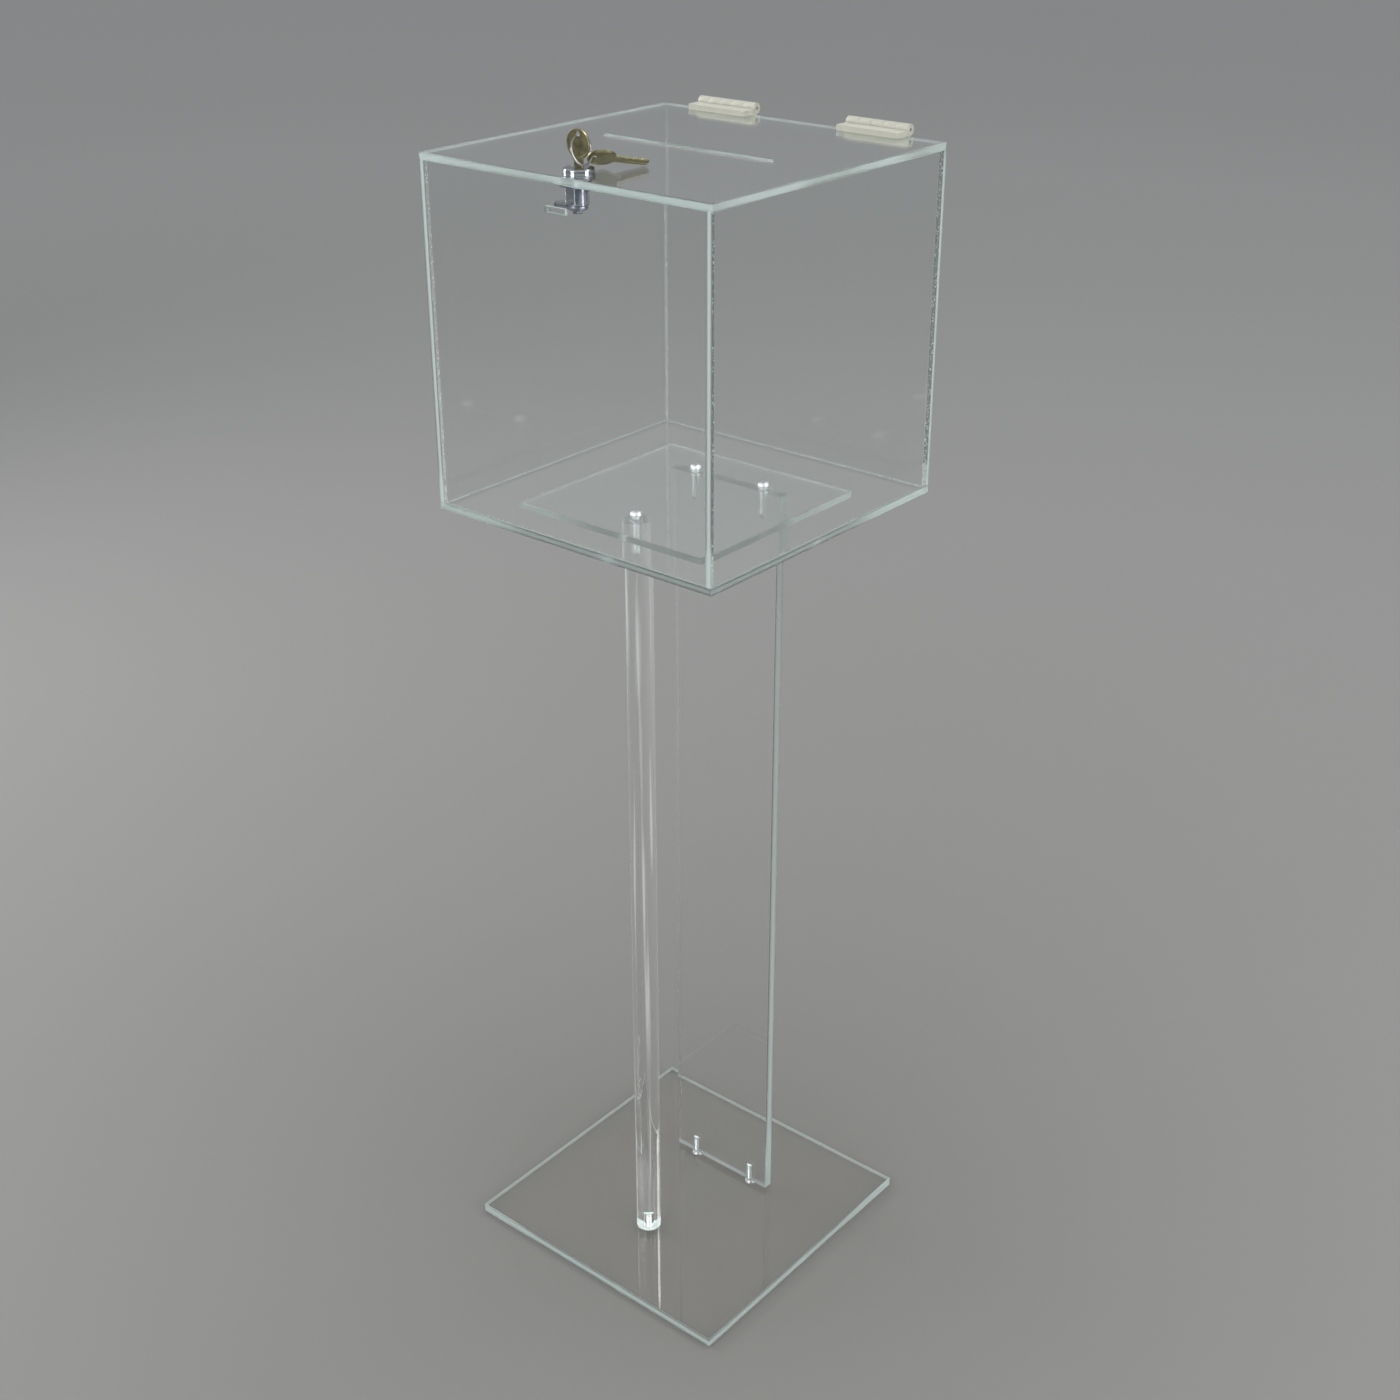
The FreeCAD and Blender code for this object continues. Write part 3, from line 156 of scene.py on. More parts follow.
class Tree:
    """A material's node tree."""

    def __init__(self, name):
        self.material = bpy.data.materials.new(name)
        self.material.use_nodes = True
        self.nodes = self.material.node_tree.nodes
        self.links = self.material.node_tree.links
        self.nodes.clear()

    def add(self, kind, inputs=(), **settings):
        """Add a node, set its properties, and fill or link its inputs."""
        node = self.nodes.new("ShaderNode" + kind)
        for key, value in settings.items():
            setattr(node, key, value)
        for key, value in dict(inputs).items():
            self.feed(node.inputs[key], value)
        return node

    def feed(self, socket, value):
        """Link a socket to another, or set its plain value."""
        if isinstance(value, bpy.types.NodeSocket):
            self.links.new(value, socket)
        elif isinstance(value, tuple) and socket.type == "RGBA":
            socket.default_value = (*value, 1.0)
        else:
            socket.default_value = value

    def math(self, operation, *values, clamp=False):
        """A math node's result."""
        node = self.add("Math", enumerate(values), operation=operation, use_clamp=clamp)
        return node.outputs[0]

    def mix(self, factor, low, high):
        """A number between low and high."""
        node = self.add("Mix", {0: factor, 2: low, 3: high}, data_type="FLOAT")
        return node.outputs[0]

    def mix_colour(self, factor, low, high):
        """A colour between low and high."""
        node = self.add("Mix", {0: factor, 6: low, 7: high}, data_type="RGBA")
        return node.outputs[2]

    def ramp(self, value, low, high):
        """0 below low, 1 above high."""
        node = self.add("MapRange", {0: value, 1: low, 2: high, 3: 0.0, 4: 1.0}, clamp=True)
        return node.outputs[0]

    def place(self):
        """The point on the object in its own coordinates, in metres."""
        return self.add("TexCoord").outputs["Object"]

    def along(self, axis):
        """The point's coordinate on an axis, given by its number."""
        return self.add("SeparateXYZ", {"Vector": self.place()}).outputs[axis]

    def marks(self, kind):
        """A kind of marks: its noise, or 0 where it is below their beginning and 1 where they are whole."""
        place = self.place()
        if kind.stretch != (1, 1, 1):
            place = self.add("Mapping", {"Vector": place, "Scale": kind.stretch}).outputs[0]
        noise = self.add("TexNoise", {"Vector": place, "Scale": kind.waves, "Detail": kind.detail}).outputs[0]
        return noise if kind.begin is None else self.ramp(noise, kind.begin, kind.whole)

    def relief(self, kind):
        """A normal that a kind of marks bends."""
        inputs = {"Height": self.marks(kind), "Strength": kind.strength, "Distance": kind.depth}
        return self.add("Bump", inputs).outputs[0]

    def finish(self, shader):
        """Send a shader to the output."""
        output = self.add("OutputMaterial")
        self.links.new(shader, output.inputs["Surface"])
        return self.material


def square_faces(tree, axes):
    """1 on the faces that lie square to one of the named axes, to within the 45 degrees of an arris.

    The sign of a face's normal isn't used, because it turns round where light meets the face from inside.
    """
    normal = tree.add("SeparateXYZ", {"Vector": tree.add("TexCoord").outputs["Normal"]})
    total = 0.0
    for axis in axes:
        lean = tree.math("ABSOLUTE", normal.outputs["xyz".index(axis)])
        total = tree.math("ADD", total, tree.math("GREATER_THAN", lean, SQUARE), clamp=True)
    return total


def ends(tree, node, names):
    """1 on the faces at the named ends of a node's box, such as +x or -z."""
    low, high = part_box(node)
    total = 0.0
    for name in names.split():
        axis = "xyz".index(name[1])
        if name[0] == "+":
            there = tree.math("GREATER_THAN", tree.along(axis), high[axis] - END_DEPTH)
        else:
            there = tree.math("LESS_THAN", tree.along(axis), low[axis] + END_DEPTH)
        there = tree.math("MULTIPLY", there, square_faces(tree, name[1]))
        total = tree.math("ADD", total, there, clamp=True)
    return total


def core(tree, node):
    """1 in the middle of a sheet's thickness, 0 near its faces. Walls in a pair share one material."""
    low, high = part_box(node)
    axis = min(range(3), key=lambda number: high[number] - low[number])
    half = (high[axis] - low[axis]) / 2
    if half > THICKEST_SHEET / 2:
        return 1.0
    middle = abs(low[axis] + high[axis]) / 2
    apart = tree.math("SUBTRACT", tree.math("ABSOLUTE", tree.along(axis)), middle)
    return tree.ramp(tree.math("ABSOLUTE", apart), FLANK * half, CORE * half)


def sawn_clarity(tree, node, saw, polish, top_polish_and_piped_glow):
    """How clear a cut edge is: clearest near the sheet's faces, and the more so for its polish."""
    # A top polish clears the upper edges and leaves them paler toward the foot: painted glow of light piped
    # up from the base.
    if top_polish_and_piped_glow:
        low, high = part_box(node)
        polish = tree.mix(tree.ramp(tree.along(2), low[2], high[2]), polish, top_polish_and_piped_glow)
    clarity = tree.math("ADD", tree.mix(saw, *SAWN_CLARITY), polish)
    clarity = tree.mix(core(tree, node), tree.mix(FLANK_CLARITY, clarity, 1.0), clarity)
    return tree.math("MINIMUM", clarity, 1.0)


def overlay(tree, look, mask, **values):
    """Change values of a look where the mask is 1."""
    for key, value in values.items():
        mix = tree.mix_colour if key in ("colour", "shadow") else tree.mix
        look[key] = mix(mask, look[key], value)


def let_light_through(tree, shader, tint):
    """Clear plastic with a faint shadow: light to and from what lies behind it goes straight on."""
    path = tree.add("LightPath")
    clear = tree.add("BsdfTransparent", {"Color": tint}).outputs[0]
    for kind in ("Is Shadow Ray", "Is Diffuse Ray"):
        shader = tree.add("MixShader", {0: path.outputs[kind], 1: shader, 2: clear}).outputs[0]
    return shader


def acrylic(name, node, cut, glued="", seated="", clear="", haze=0.0, polish=0.0, top_polish_and_piped_glow=0.0,
            streaks_and_highlights=0.0, tint=FACE_SHADOW):
    """Clear sheet with polished faces and, by axis, pale cut edges. Some ends are glued, seated or clear.

    Polish makes the cut edges clearer. Where a top amount is given, polish goes from its plain amount at
    the piece's foot to that top amount, so the cut edges are paler toward the foot: a painted glow of light
    carried up the sheet from the base. Streaks are dull, pale lines along Z: partly drawn marks and partly
    painted highlights of light bent through the piece.
    """
    tree = Tree(name)
    edge = square_faces(tree, cut)
    if clear:
        edge = tree.math("SUBTRACT", edge, ends(tree, node, clear), clamp=True)
    saw = tree.marks(SAW_MARKS)
    look = {"colour": CLEAR, "shadow": tint, "clarity": 1.0, "mirror": MIRROR,
            "roughness": tree.mix(tree.marks(SMEARS), *POLISHED_ROUGHNESS)}
    overlay(tree, look, edge, colour=CUT_EDGE, shadow=EDGE_SHADOW, roughness=tree.mix(saw, *SAWN_ROUGHNESS),
            clarity=sawn_clarity(tree, node, saw, polish, top_polish_and_piped_glow))
    if glued:
        bubbles = tree.marks(JOINT_BUBBLES)
        overlay(tree, look, ends(tree, node, glued), colour=JOINT, shadow=FACE_SHADOW,
                roughness=tree.mix(bubbles, *JOINT_ROUGHNESS), clarity=tree.mix(bubbles, *JOINT_CLARITY))
    if seated:
        overlay(tree, look, ends(tree, node, seated), shadow=FACE_SHADOW, roughness=SEAT_ROUGHNESS,
                clarity=0.0, mirror=0.0, colour=tree.mix_colour(tree.marks(SEAT_PATCHES), SEAT, SEAT_PATCH))
    # Paler lines along Z: partly drawn marks, partly painted highlights of light bent through the rod
    if streaks_and_highlights:
        paled_lines = tree.mix(tree.marks(STREAKS_AND_HIGHLIGHTS), 1.0, 1.0 - streaks_and_highlights)
        look["clarity"] = tree.math("MULTIPLY", look["clarity"], paled_lines)
    inputs = {"Base Color": look["colour"], "Roughness": look["roughness"], "IOR": ACRYLIC_IOR,
              "Specular IOR Level": look["mirror"], "Transmission Weight": look["clarity"],
              "Sheen Weight": haze, "Sheen Roughness": HAZE_ROUGHNESS, "Normal": tree.relief(SCRATCHES)}
    shader = tree.add("BsdfPrincipled", inputs).outputs[0]
    return tree.finish(let_light_through(tree, shader, look["shadow"]))


def milky_plastic():
    """Translucent yellowish plastic of the hinges, cloudier in places."""
    tree = Tree("hinge_plastic")
    cloud = tree.marks(CLOUDS)
    inputs = {"Base Color": tree.mix_colour(cloud, MILKY, MILKY_CLOUD), "IOR": MILKY_IOR,
              "Roughness": tree.mix(cloud, *MILKY_ROUGHNESS),
              "Transmission Weight": tree.mix(cloud, *MILKY_CLARITY), "Normal": tree.relief(MILKY_GRAIN)}
    shader = tree.add("BsdfPrincipled", inputs).outputs[0]
    return tree.finish(let_light_through(tree, shader, MILKY_SHADOW))


def metal(name):
    """Metal with worn patches and fine marks."""
    kind = METALS[name]
    tree = Tree(name)
    wear = tree.marks(WEAR)
    colour = tree.mix_colour(tree.ramp(wear, *WORN), kind.colour, kind.worn)
    inputs = {"Base Color": colour, "Metallic": 1.0, "Roughness": tree.mix(wear, kind.smooth, kind.rough),
              "Normal": tree.relief(kind.grain)}
    return tree.finish(tree.add("BsdfPrincipled", inputs).outputs[0])


def cement_material():
    """Dried solvent cement: clear and a little yellow, with small bubbles."""
    tree = Tree("cement")
    bubbles = tree.marks(CEMENT_BUBBLES)
    inputs = {"Base Color": CEMENT, "IOR": CEMENT_IOR, "Roughness": tree.mix(bubbles, *CEMENT_ROUGHNESS),
              "Transmission Weight": tree.mix(bubbles, *CEMENT_CLARITY),
              "Normal": tree.relief(CEMENT_LUMPS)}
    shader = tree.add("BsdfPrincipled", inputs).outputs[0]
    return tree.finish(let_light_through(tree, shader, CEMENT_SHADOW))


def floor_material():
    """Pale studio floor, darker near the box with painted shade and paler far off with painted light."""
    tree = Tree("studio_floor")
    apart = tree.add("VectorMath", {0: tree.place()}, operation="LENGTH").outputs["Value"]
    # Darker near the box as painted shade, paler far off as painted light where the lamps' light falls away
    painted_falloff = tree.math("POWER", tree.ramp(apart, *FLOOR_FADE), FLOOR_FADE_POWER)
    colour = tree.mix_colour(painted_falloff, FLOOR_NEAR, FLOOR_FAR)
    patch = tree.mix(tree.marks(FLOOR_PATCHES), 0.0, FLOOR_PATCH_STRENGTH)
    inputs = {"Base Color": tree.mix_colour(patch, colour, WHITE), "Roughness": FLOOR_ROUGHNESS,
              "Normal": tree.relief(FLOOR_GRAIN)}
    return tree.finish(tree.add("BsdfPrincipled", inputs).outputs[0])


def dress(material, *nodes):
    """Give carried-over nodes their material."""
    for node in nodes:
        for slot in frame["nodes"][node].material_slots:
            slot.material = material


# Mesh tools. Points nearer than this are one, and edges of new pieces are smooth up to this angle.
TOUCHING = 1e-7
SMOOTH = math.radians(32)


def finished(name, mesh, material, body, slot, *nodes):
    """An object from a mesh, riding on a body, with its finish and the nodes that it stands for."""
    work = bmesh.new()
    work.from_mesh(mesh)
    bmesh.ops.remove_doubles(work, verts=work.verts, dist=TOUCHING)
    bmesh.ops.dissolve_degenerate(work, edges=work.edges, dist=TOUCHING)
    bmesh.ops.recalc_face_normals(work, faces=work.faces)
    work.to_mesh(mesh)
    work.free()
    mesh.shade_smooth()
    mesh.set_sharp_from_angle(angle=SMOOTH)
    mesh.materials.clear()
    mesh.materials.append(material)
    piece = bpy.data.objects.new(name, mesh)
    bpy.context.scene.collection.objects.link(piece)
    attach(piece, body)
    if nodes:
        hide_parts(*nodes)


def skin(name, groups):
    """A mesh from groups of rings: each group is a list of rings and whether its last meets its first."""
    points = []
    faces = []
    for rings, closed in groups:
        start = len(points)
        count = len(rings[0])
        for loop in rings:
            points.extend(loop)
        for number in range(len(rings) if closed else len(rings) - 1):
            low = start + number * count
            high = start + (number + 1) % len(rings) * count
            for step in range(count):
                after = (step + 1) % count
                faces.append((low + step, low + after, high + after, high + step))
        if not closed:
            faces.append(tuple(range(start + count - 1, start - 1, -1)))
            faces.append(tuple(range(len(points) - count, len(points))))
    mesh = bpy.data.meshes.new(name)
    mesh.from_pydata(points, [], faces)
    return mesh


def turned(place, profile, sides):
    """Rings about a vertical axis, from radii and heights that are numbers or functions of the angle."""
    rings = []
    for radius, height in profile:
        loop = []
        for number in range(sides):
            angle = TAU * number / sides
            reach = radius(angle) if callable(radius) else radius
            rise = height(angle) if callable(height) else height
            loop.append((place.x + reach * math.cos(angle), place.y + reach * math.sin(angle),
                         place.z + rise))
        rings.append(loop)
    return rings


def hexagonal(width):
    """The radius of a hexagon, by angle, given its width across flats."""
    def radius(angle):
        side = TAU / 6
        return width / 2 / math.cos((angle + side / 2) % side - side / 2)
    return radius


# Threads. A thread has its outer radius, pitch, depth and number of sides. It fades in over its first
# turn, and at its other end the run-out's share of the depth is left.
Thread = namedtuple("Thread", "outer pitch depth sides")
STEPS_PER_TURN = 6
RUN_OUT = 0.15


def threaded(thread, height, share, limit):
    """The radius of a thread at a height, by angle, with a share of its depth and a limit by angle."""
    def radius(angle):
        phase = (height / thread.pitch - angle / TAU) % 1
        reach = thread.outer - thread.depth * share * abs(2 * phase - 1)
        return min(reach, limit(angle)) if limit else reach
    return radius


def thread_rings(place, low, high, thread, limit=None):
    """Rings of a thread from low to high."""
    profile = []
    steps = round((high - low) / thread.pitch * STEPS_PER_TURN)
    for number in range(steps + 1):
        height = low + (high - low) * number / steps
        share = min(1.0, (height - low) / thread.pitch, (high - height) / thread.pitch + RUN_OUT)
        profile.append((threaded(thread, height, share, limit), height))
    return turned(place, profile, thread.sides)


# Places that the frame gives

def middle(node, axis):
    """The middle of a node's box along an axis, given by its number."""
    low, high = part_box(node)
    return (low[axis] + high[axis]) / 2


def joint_place(name):
    """Where a joint's axis passes."""
    return next(Vector(joint["pos_m"]) for joint in frame["joints"] if joint["name"] == name)


LID_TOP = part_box("lid")[1][2]
LOCK = Vector((0.0, middle("lock_nut", 1), LID_TOP))

# Screws: the thread, then each head's radius, edges and heights
SCREW_THREAD = Thread(outer=3.0 * MM, pitch=1.0 * MM, depth=0.58 * MM, sides=36)
SCREW = SCREW_THREAD.outer
SCREW_TIP = 0.7 * MM
SCREW_TIP_RADIUS = SCREW - SCREW_THREAD.depth - 0.3 * MM
COUNTERSUNK = 5.65 * MM
COUNTERSUNK_BEVEL = 0.25 * MM
COUNTERSUNK_RIM = (0.15 * MM, 0.35 * MM)
COUNTERSUNK_CONE = COUNTERSUNK - SCREW + 0.2 * MM
COUNTERSUNK_NECK = 3.4 * MM
BUTTON = 5.25 * MM
BUTTON_HEIGHT = 3.3 * MM
BUTTON_BEVEL = 0.2 * MM
BUTTON_RIM = 0.8 * MM
BUTTON_ROUND = 3.3 * MM
BUTTON_SWEEP = math.radians(70)
BUTTON_NECK = (0.4 * MM, 1.0 * MM)
DOME_STEPS = 8
SOCKET = hexagonal(4.0 * MM)
SOCKET_DEPTH = 2.0 * MM


def countersunk_screw(place, length):
    """A countersunk screw, head down, from its socket to its tip."""
    head = [(SOCKET, SOCKET_DEPTH), (SOCKET, 0.0), (COUNTERSUNK - COUNTERSUNK_BEVEL, 0.0)]
    head += [(COUNTERSUNK, height) for height in COUNTERSUNK_RIM]
    head += [(SCREW, COUNTERSUNK_CONE)]
    rings = turned(place, head, SCREW_THREAD.sides)
    rings += thread_rings(place, COUNTERSUNK_NECK, length - SCREW_TIP, SCREW_THREAD)
    rings += turned(place, [(SCREW_TIP_RADIUS, length)], SCREW_THREAD.sides)
    return rings, False


def button_screw(place, length):
    """A button-head screw, head up, from its tip to its socket."""
    rings = turned(place, [(SCREW_TIP_RADIUS, -length)], SCREW_THREAD.sides)
    rings += thread_rings(place, SCREW_TIP - length, -BUTTON_NECK[1], SCREW_THREAD)
    head = [(SCREW, -BUTTON_NECK[0]), (SCREW, 0.0), (BUTTON - BUTTON_BEVEL, 0.0)]
    for number in range(DOME_STEPS + 1):
        turn = BUTTON_SWEEP * number / DOME_STEPS
        rise = (BUTTON_HEIGHT - BUTTON_RIM) * math.sin(turn) / math.sin(BUTTON_SWEEP)
        head.append((BUTTON - BUTTON_ROUND + BUTTON_ROUND * math.cos(turn), BUTTON_RIM + rise))
    head += [(SOCKET, BUTTON_HEIGHT), (SOCKET, BUTTON_HEIGHT - SOCKET_DEPTH)]
    rings += turned(place, head, SCREW_THREAD.sides)
    return rings, False


def make_screws(steel):
    """The column's six screws, with their threads."""
    base_low, base_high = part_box("base_screws")
    floor_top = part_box("box_floor")[1][2]
    panel_x = base_high[0] - COUNTERSUNK
    panel_y = middle("rear_panel", 1)
    column = ((0.0, middle("front_rod", 1)), (-panel_x, panel_y), (panel_x, panel_y))
    length = base_high[2] - base_low[2]
    low = [countersunk_screw(Vector((x, y, base_low[2])), length) for x, y in column]
    finished("base_screw_set", skin("base_screw_set", low), steel, "root", "screw_steel", "base_screws")
    length = floor_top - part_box("head_screws")[0][2]
    high = [button_screw(Vector((x, y, floor_top)), length) for x, y in column]
    finished("head_screw_set", skin("head_screw_set", high), steel, "root", "screw_steel", "head_screws")


# Lock shell: radii, and heights from the lid's top. The skirt is cut away where its window is.
BARREL_THREAD = Thread(outer=9.51 * MM, pitch=1.0 * MM, depth=0.55 * MM, sides=120)
BARREL = BARREL_THREAD.outer
FLATS = 8.01 * MM
THREAD_START = 0.2 * MM
THREAD_END = -0.8 * MM
BORE = 6.311 * MM
SKIRT_BORE = 8.06 * MM
SKIRT = 0.9 * MM
SKIRT_WALL = 0.05 * MM
HEAD = 12.51 * MM
HEAD_HEIGHT = 3.0 * MM
HEAD_BEVEL = 0.1 * MM
HEAD_DOME = 1.5 * MM
HEAD_LIP = 0.15 * MM
FLANGE_RECESS = 7.811 * MM
FLANGE_DEPTH = 1.7 * MM
WINDOW_MIDDLE = math.radians(270)
WINDOW_HALF = math.radians(61)
LEAST_SINE = 0.01


def flats(angle):
    """The radius at which the barrel's two flats lie."""
    return FLATS / max(abs(math.sin(angle)), LEAST_SINE)


def barrel(angle):
    """The radius of the barrel without its thread."""
    return min(BARREL, flats(angle))


def barrel_foot(angle):
    """The radius of the barrel's plain foot."""
    return min(BARREL - BARREL_THREAD.depth, flats(angle))


def skirt_bore(angle):
    """The radius of the skirt's inside."""
    return min(SKIRT_BORE, barrel_foot(angle) - SKIRT_WALL)


def make_lock_shell(chrome):
    """The lock's shell: domed head, threaded barrel with two flats, bore and notched skirt."""
    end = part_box("lock_housing")[0][2] - LID_TOP
    stop = end + SKIRT

    def foot(angle):
        """The skirt's lower edge, raised where its window is."""
        apart = abs((angle - WINDOW_MIDDLE + math.pi) % TAU - math.pi)
        return stop if apart < WINDOW_HALF else end

    rings = turned(LOCK, [(barrel_foot, foot), (barrel_foot, stop)], BARREL_THREAD.sides)
    rings += thread_rings(LOCK, stop + THREAD_START, THREAD_END, BARREL_THREAD, flats)
    head = [(barrel, 0.0), (HEAD - HEAD_BEVEL, 0.0), (HEAD, HEAD_BEVEL)]
    for number in range(DOME_STEPS + 1):
        turn = TAU / 4 * number / DOME_STEPS
        head.append((HEAD - HEAD_DOME + HEAD_DOME * math.cos(turn),
                     HEAD_HEIGHT - HEAD_DOME + HEAD_DOME * math.sin(turn)))
    recess = HEAD_HEIGHT - FLANGE_DEPTH
    head += [(FLANGE_RECESS + HEAD_LIP, HEAD_HEIGHT), (FLANGE_RECESS, HEAD_HEIGHT - HEAD_LIP),
             (FLANGE_RECESS, recess), (BORE, recess), (BORE, stop), (skirt_bore, stop), (skirt_bore, foot)]
    rings += turned(LOCK, head, BARREL_THREAD.sides)
    finished("lock_shell", skin("lock_shell", [(rings, True)]), chrome, "lid", "lock_chrome",
             "lock_housing")


# Keys. In a key's own frame its blade is below zero, its bow is above, and the cuts are on the +X side.
BLADE = 3.8 * MM
BLADE_LENGTH = 21.0 * MM
BLADE_POINT = 2.0 * MM
BLADE_SPINE = 0.6 * MM
NECK = 4.5 * MM
BOW = 11.5 * MM
BOW_CENTRE = 17.3 * MM
BOW_HOLE = 2.5 * MM
BOW_HOLE_RISE = 24.3 * MM
BOW_RIM = 1.6 * MM
BOW_SIDES = 56
RIM_SIDES = 64
HOLE_SIDES = 32
KEY_HALF = 1.0 * MM
KEY_SINK = 0.25 * MM
BLANK_BEVEL = 0.2 * MM
RIM_BEVEL = 0.25 * MM
SPINE_BEVEL = 0.1 * MM
WAFER_PITCH = 3.0 * MM
FIRST_WAFER = 5.0 * MM
CUTS = (0.6, 1.2, 0.9, 1.5, 0.7)
CUT_UNIT = 0.9 * MM
CUT_MOUTH = 0.75 * MM
CUT_FLOOR = 0.25 * MM
KEY_GAP = 0.3 * MM
SQUARE_ON = 0.99


def key_outline():
    """The key's outline in its own plane, with the bow up and the blade down."""
    points = [(-BLADE, 0.0), (-BLADE, BLADE_POINT - BLADE_LENGTH), (BLADE_POINT - BLADE, -BLADE_LENGTH),
              (BLADE - BLADE_POINT, -BLADE_LENGTH), (BLADE, BLADE_POINT - BLADE_LENGTH)]
    for number in reversed(range(len(CUTS))):
        place = -(FIRST_WAFER + number * WAFER_PITCH) - KEY_GAP
        depth = CUTS[number] * CUT_UNIT
        points += [(BLADE, place - CUT_MOUTH), (BLADE - depth, place - CUT_FLOOR),
                   (BLADE - depth, place + CUT_FLOOR), (BLADE, place + CUT_MOUTH)]
    points += [(BLADE, 0.0), (NECK, 0.0)]
    start = -math.acos(NECK / BOW)
    sweep = TAU - 2 * (TAU / 4 + start)
    for number in range(BOW_SIDES + 1):
        angle = start + sweep * number / BOW_SIDES
        points.append((BOW * math.cos(angle), BOW_CENTRE + BOW * math.sin(angle)))
    points.append((-NECK, 0.0))
    return points


def spine_outline():
    """The thicker strip along the blade's back."""
    inner = BLADE_POINT - BLADE + BLADE_SPINE
    return [(-BLADE, 0.0), (-BLADE, BLADE_POINT - BLADE_LENGTH), (BLADE_POINT - BLADE, -BLADE_LENGTH),
            (inner, -BLADE_LENGTH), (inner, 0.0)]


def circle_loop(radius, rise, sides):
    """A circle's points in the key's plane."""
    return [(radius * math.cos(TAU * number / sides), rise + radius * math.sin(TAU * number / sides))
            for number in range(sides)]


def flat_piece(name, outline, holes, half, bevel):
    """A flat piece with rounded edges from outlines in its own XZ plane."""
    curve = bpy.data.curves.new(name, "CURVE")
    curve.dimensions = "2D"
    curve.fill_mode = "BOTH"
    curve.extrude = half - bevel
    curve.bevel_depth = bevel
    curve.bevel_resolution = 2
    curve.offset = -bevel
    for loop in (outline, *holes):
        spline = curve.splines.new("POLY")
        spline.points.add(len(loop) - 1)
        for point, (x, z) in zip(spline.points, loop):
            point.co = (x, z, 0.0, 1.0)
        spline.use_cyclic_u = True
    holder = bpy.data.objects.new(name, curve)
    bpy.context.scene.collection.objects.link(holder)
    bpy.context.view_layer.update()
    mesh = bpy.data.meshes.new_from_object(holder.evaluated_get(bpy.context.evaluated_depsgraph_get()))
    bpy.data.objects.remove(holder)
    bpy.data.curves.remove(curve)
    mesh.transform(Matrix.Rotation(TAU / 4, 4, "X"))
    return mesh


def key_matrix(node, hole):
    """Where a key stands: the motion that takes the key's own frame, bow up and blade down, to its node.

    The flat faces give the key's normal, its straight sides the direction across it, and the plain back
    of the blade has more area than the cut side. The hole tells the bow's end.
    """
    mesh = frame["nodes"][node].data
    spread = np.zeros((3, 3))
    for face in mesh.polygons:
        spread += face.area * np.outer(face.normal, face.normal)
    directions = np.linalg.eigh(spread)[1]
    up = Vector(directions[:, 0])
    across = Vector(directions[:, 1])
    points = [vertex.co for vertex in mesh.vertices]
    if up.dot(hole - sum(points, Vector()) / len(points)) < 0:
        up.negate()
    sides = [face.area * round(face.normal.dot(across)) for face in mesh.polygons
             if abs(face.normal.dot(across)) > SQUARE_ON]
    if sum(sides) > 0:
        across.negate()
    flat = up.cross(across)

    def reach(direction):
        """The highest point along a direction."""
        return max(point.dot(direction) for point in points)

    place = up * (reach(up) - BOW_CENTRE - BOW)
    place += across * (reach(across) - reach(-across)) / 2
    place += flat * (reach(flat) - reach(-flat)) / 2
    matrix = Matrix((across, flat, up)).transposed().to_4x4()
    matrix.translation = place
    return matrix


def make_keys(brass):
    """The standing key and the spare, each a milled blank with a raised rim round its bow."""
    for node, body, joint in (("key", "key", "ring_swing"), ("spare_key", "spare", "spare_key_swing")):
        matrix = key_matrix(node, joint_place(joint))
        hole = circle_loop(BOW_HOLE, BOW_HOLE_RISE, HOLE_SIDES)
        rim = circle_loop(BOW, BOW_CENTRE, RIM_SIDES)
        inside = circle_loop(BOW - BOW_RIM, BOW_CENTRE, BOW_SIDES)
        meshes = (flat_piece(node, key_outline(), [hole], KEY_HALF - KEY_SINK, BLANK_BEVEL),
                  flat_piece(node + "_rim", rim, [inside], KEY_HALF, RIM_BEVEL),
                  flat_piece(node + "_back", spine_outline(), [], KEY_HALF, SPINE_BEVEL))
        work = bmesh.new()
        for mesh in meshes:
            mesh.transform(matrix)
            work.from_mesh(mesh)
        whole = bpy.data.meshes.new(node + "_milled")
        work.to_mesh(whole)
        work.free()
        finished(node + "_milled", whole, brass, body, "key_brass", node)


# Split ring: its wire is wider than high. Its turns are angles along the wire.
RING_RADIUS = 10.8 * MM
RING_WIDE = 0.78 * MM
RING_HIGH = 0.38 * MM
RING_STEP = 0.41 * MM
RING_STEP_TURN = 0.40
RING_START = math.radians(100)
RING_TURN = 2 * TAU - 0.47
RING_COUNT = 150
WIRE_SIDES = 12


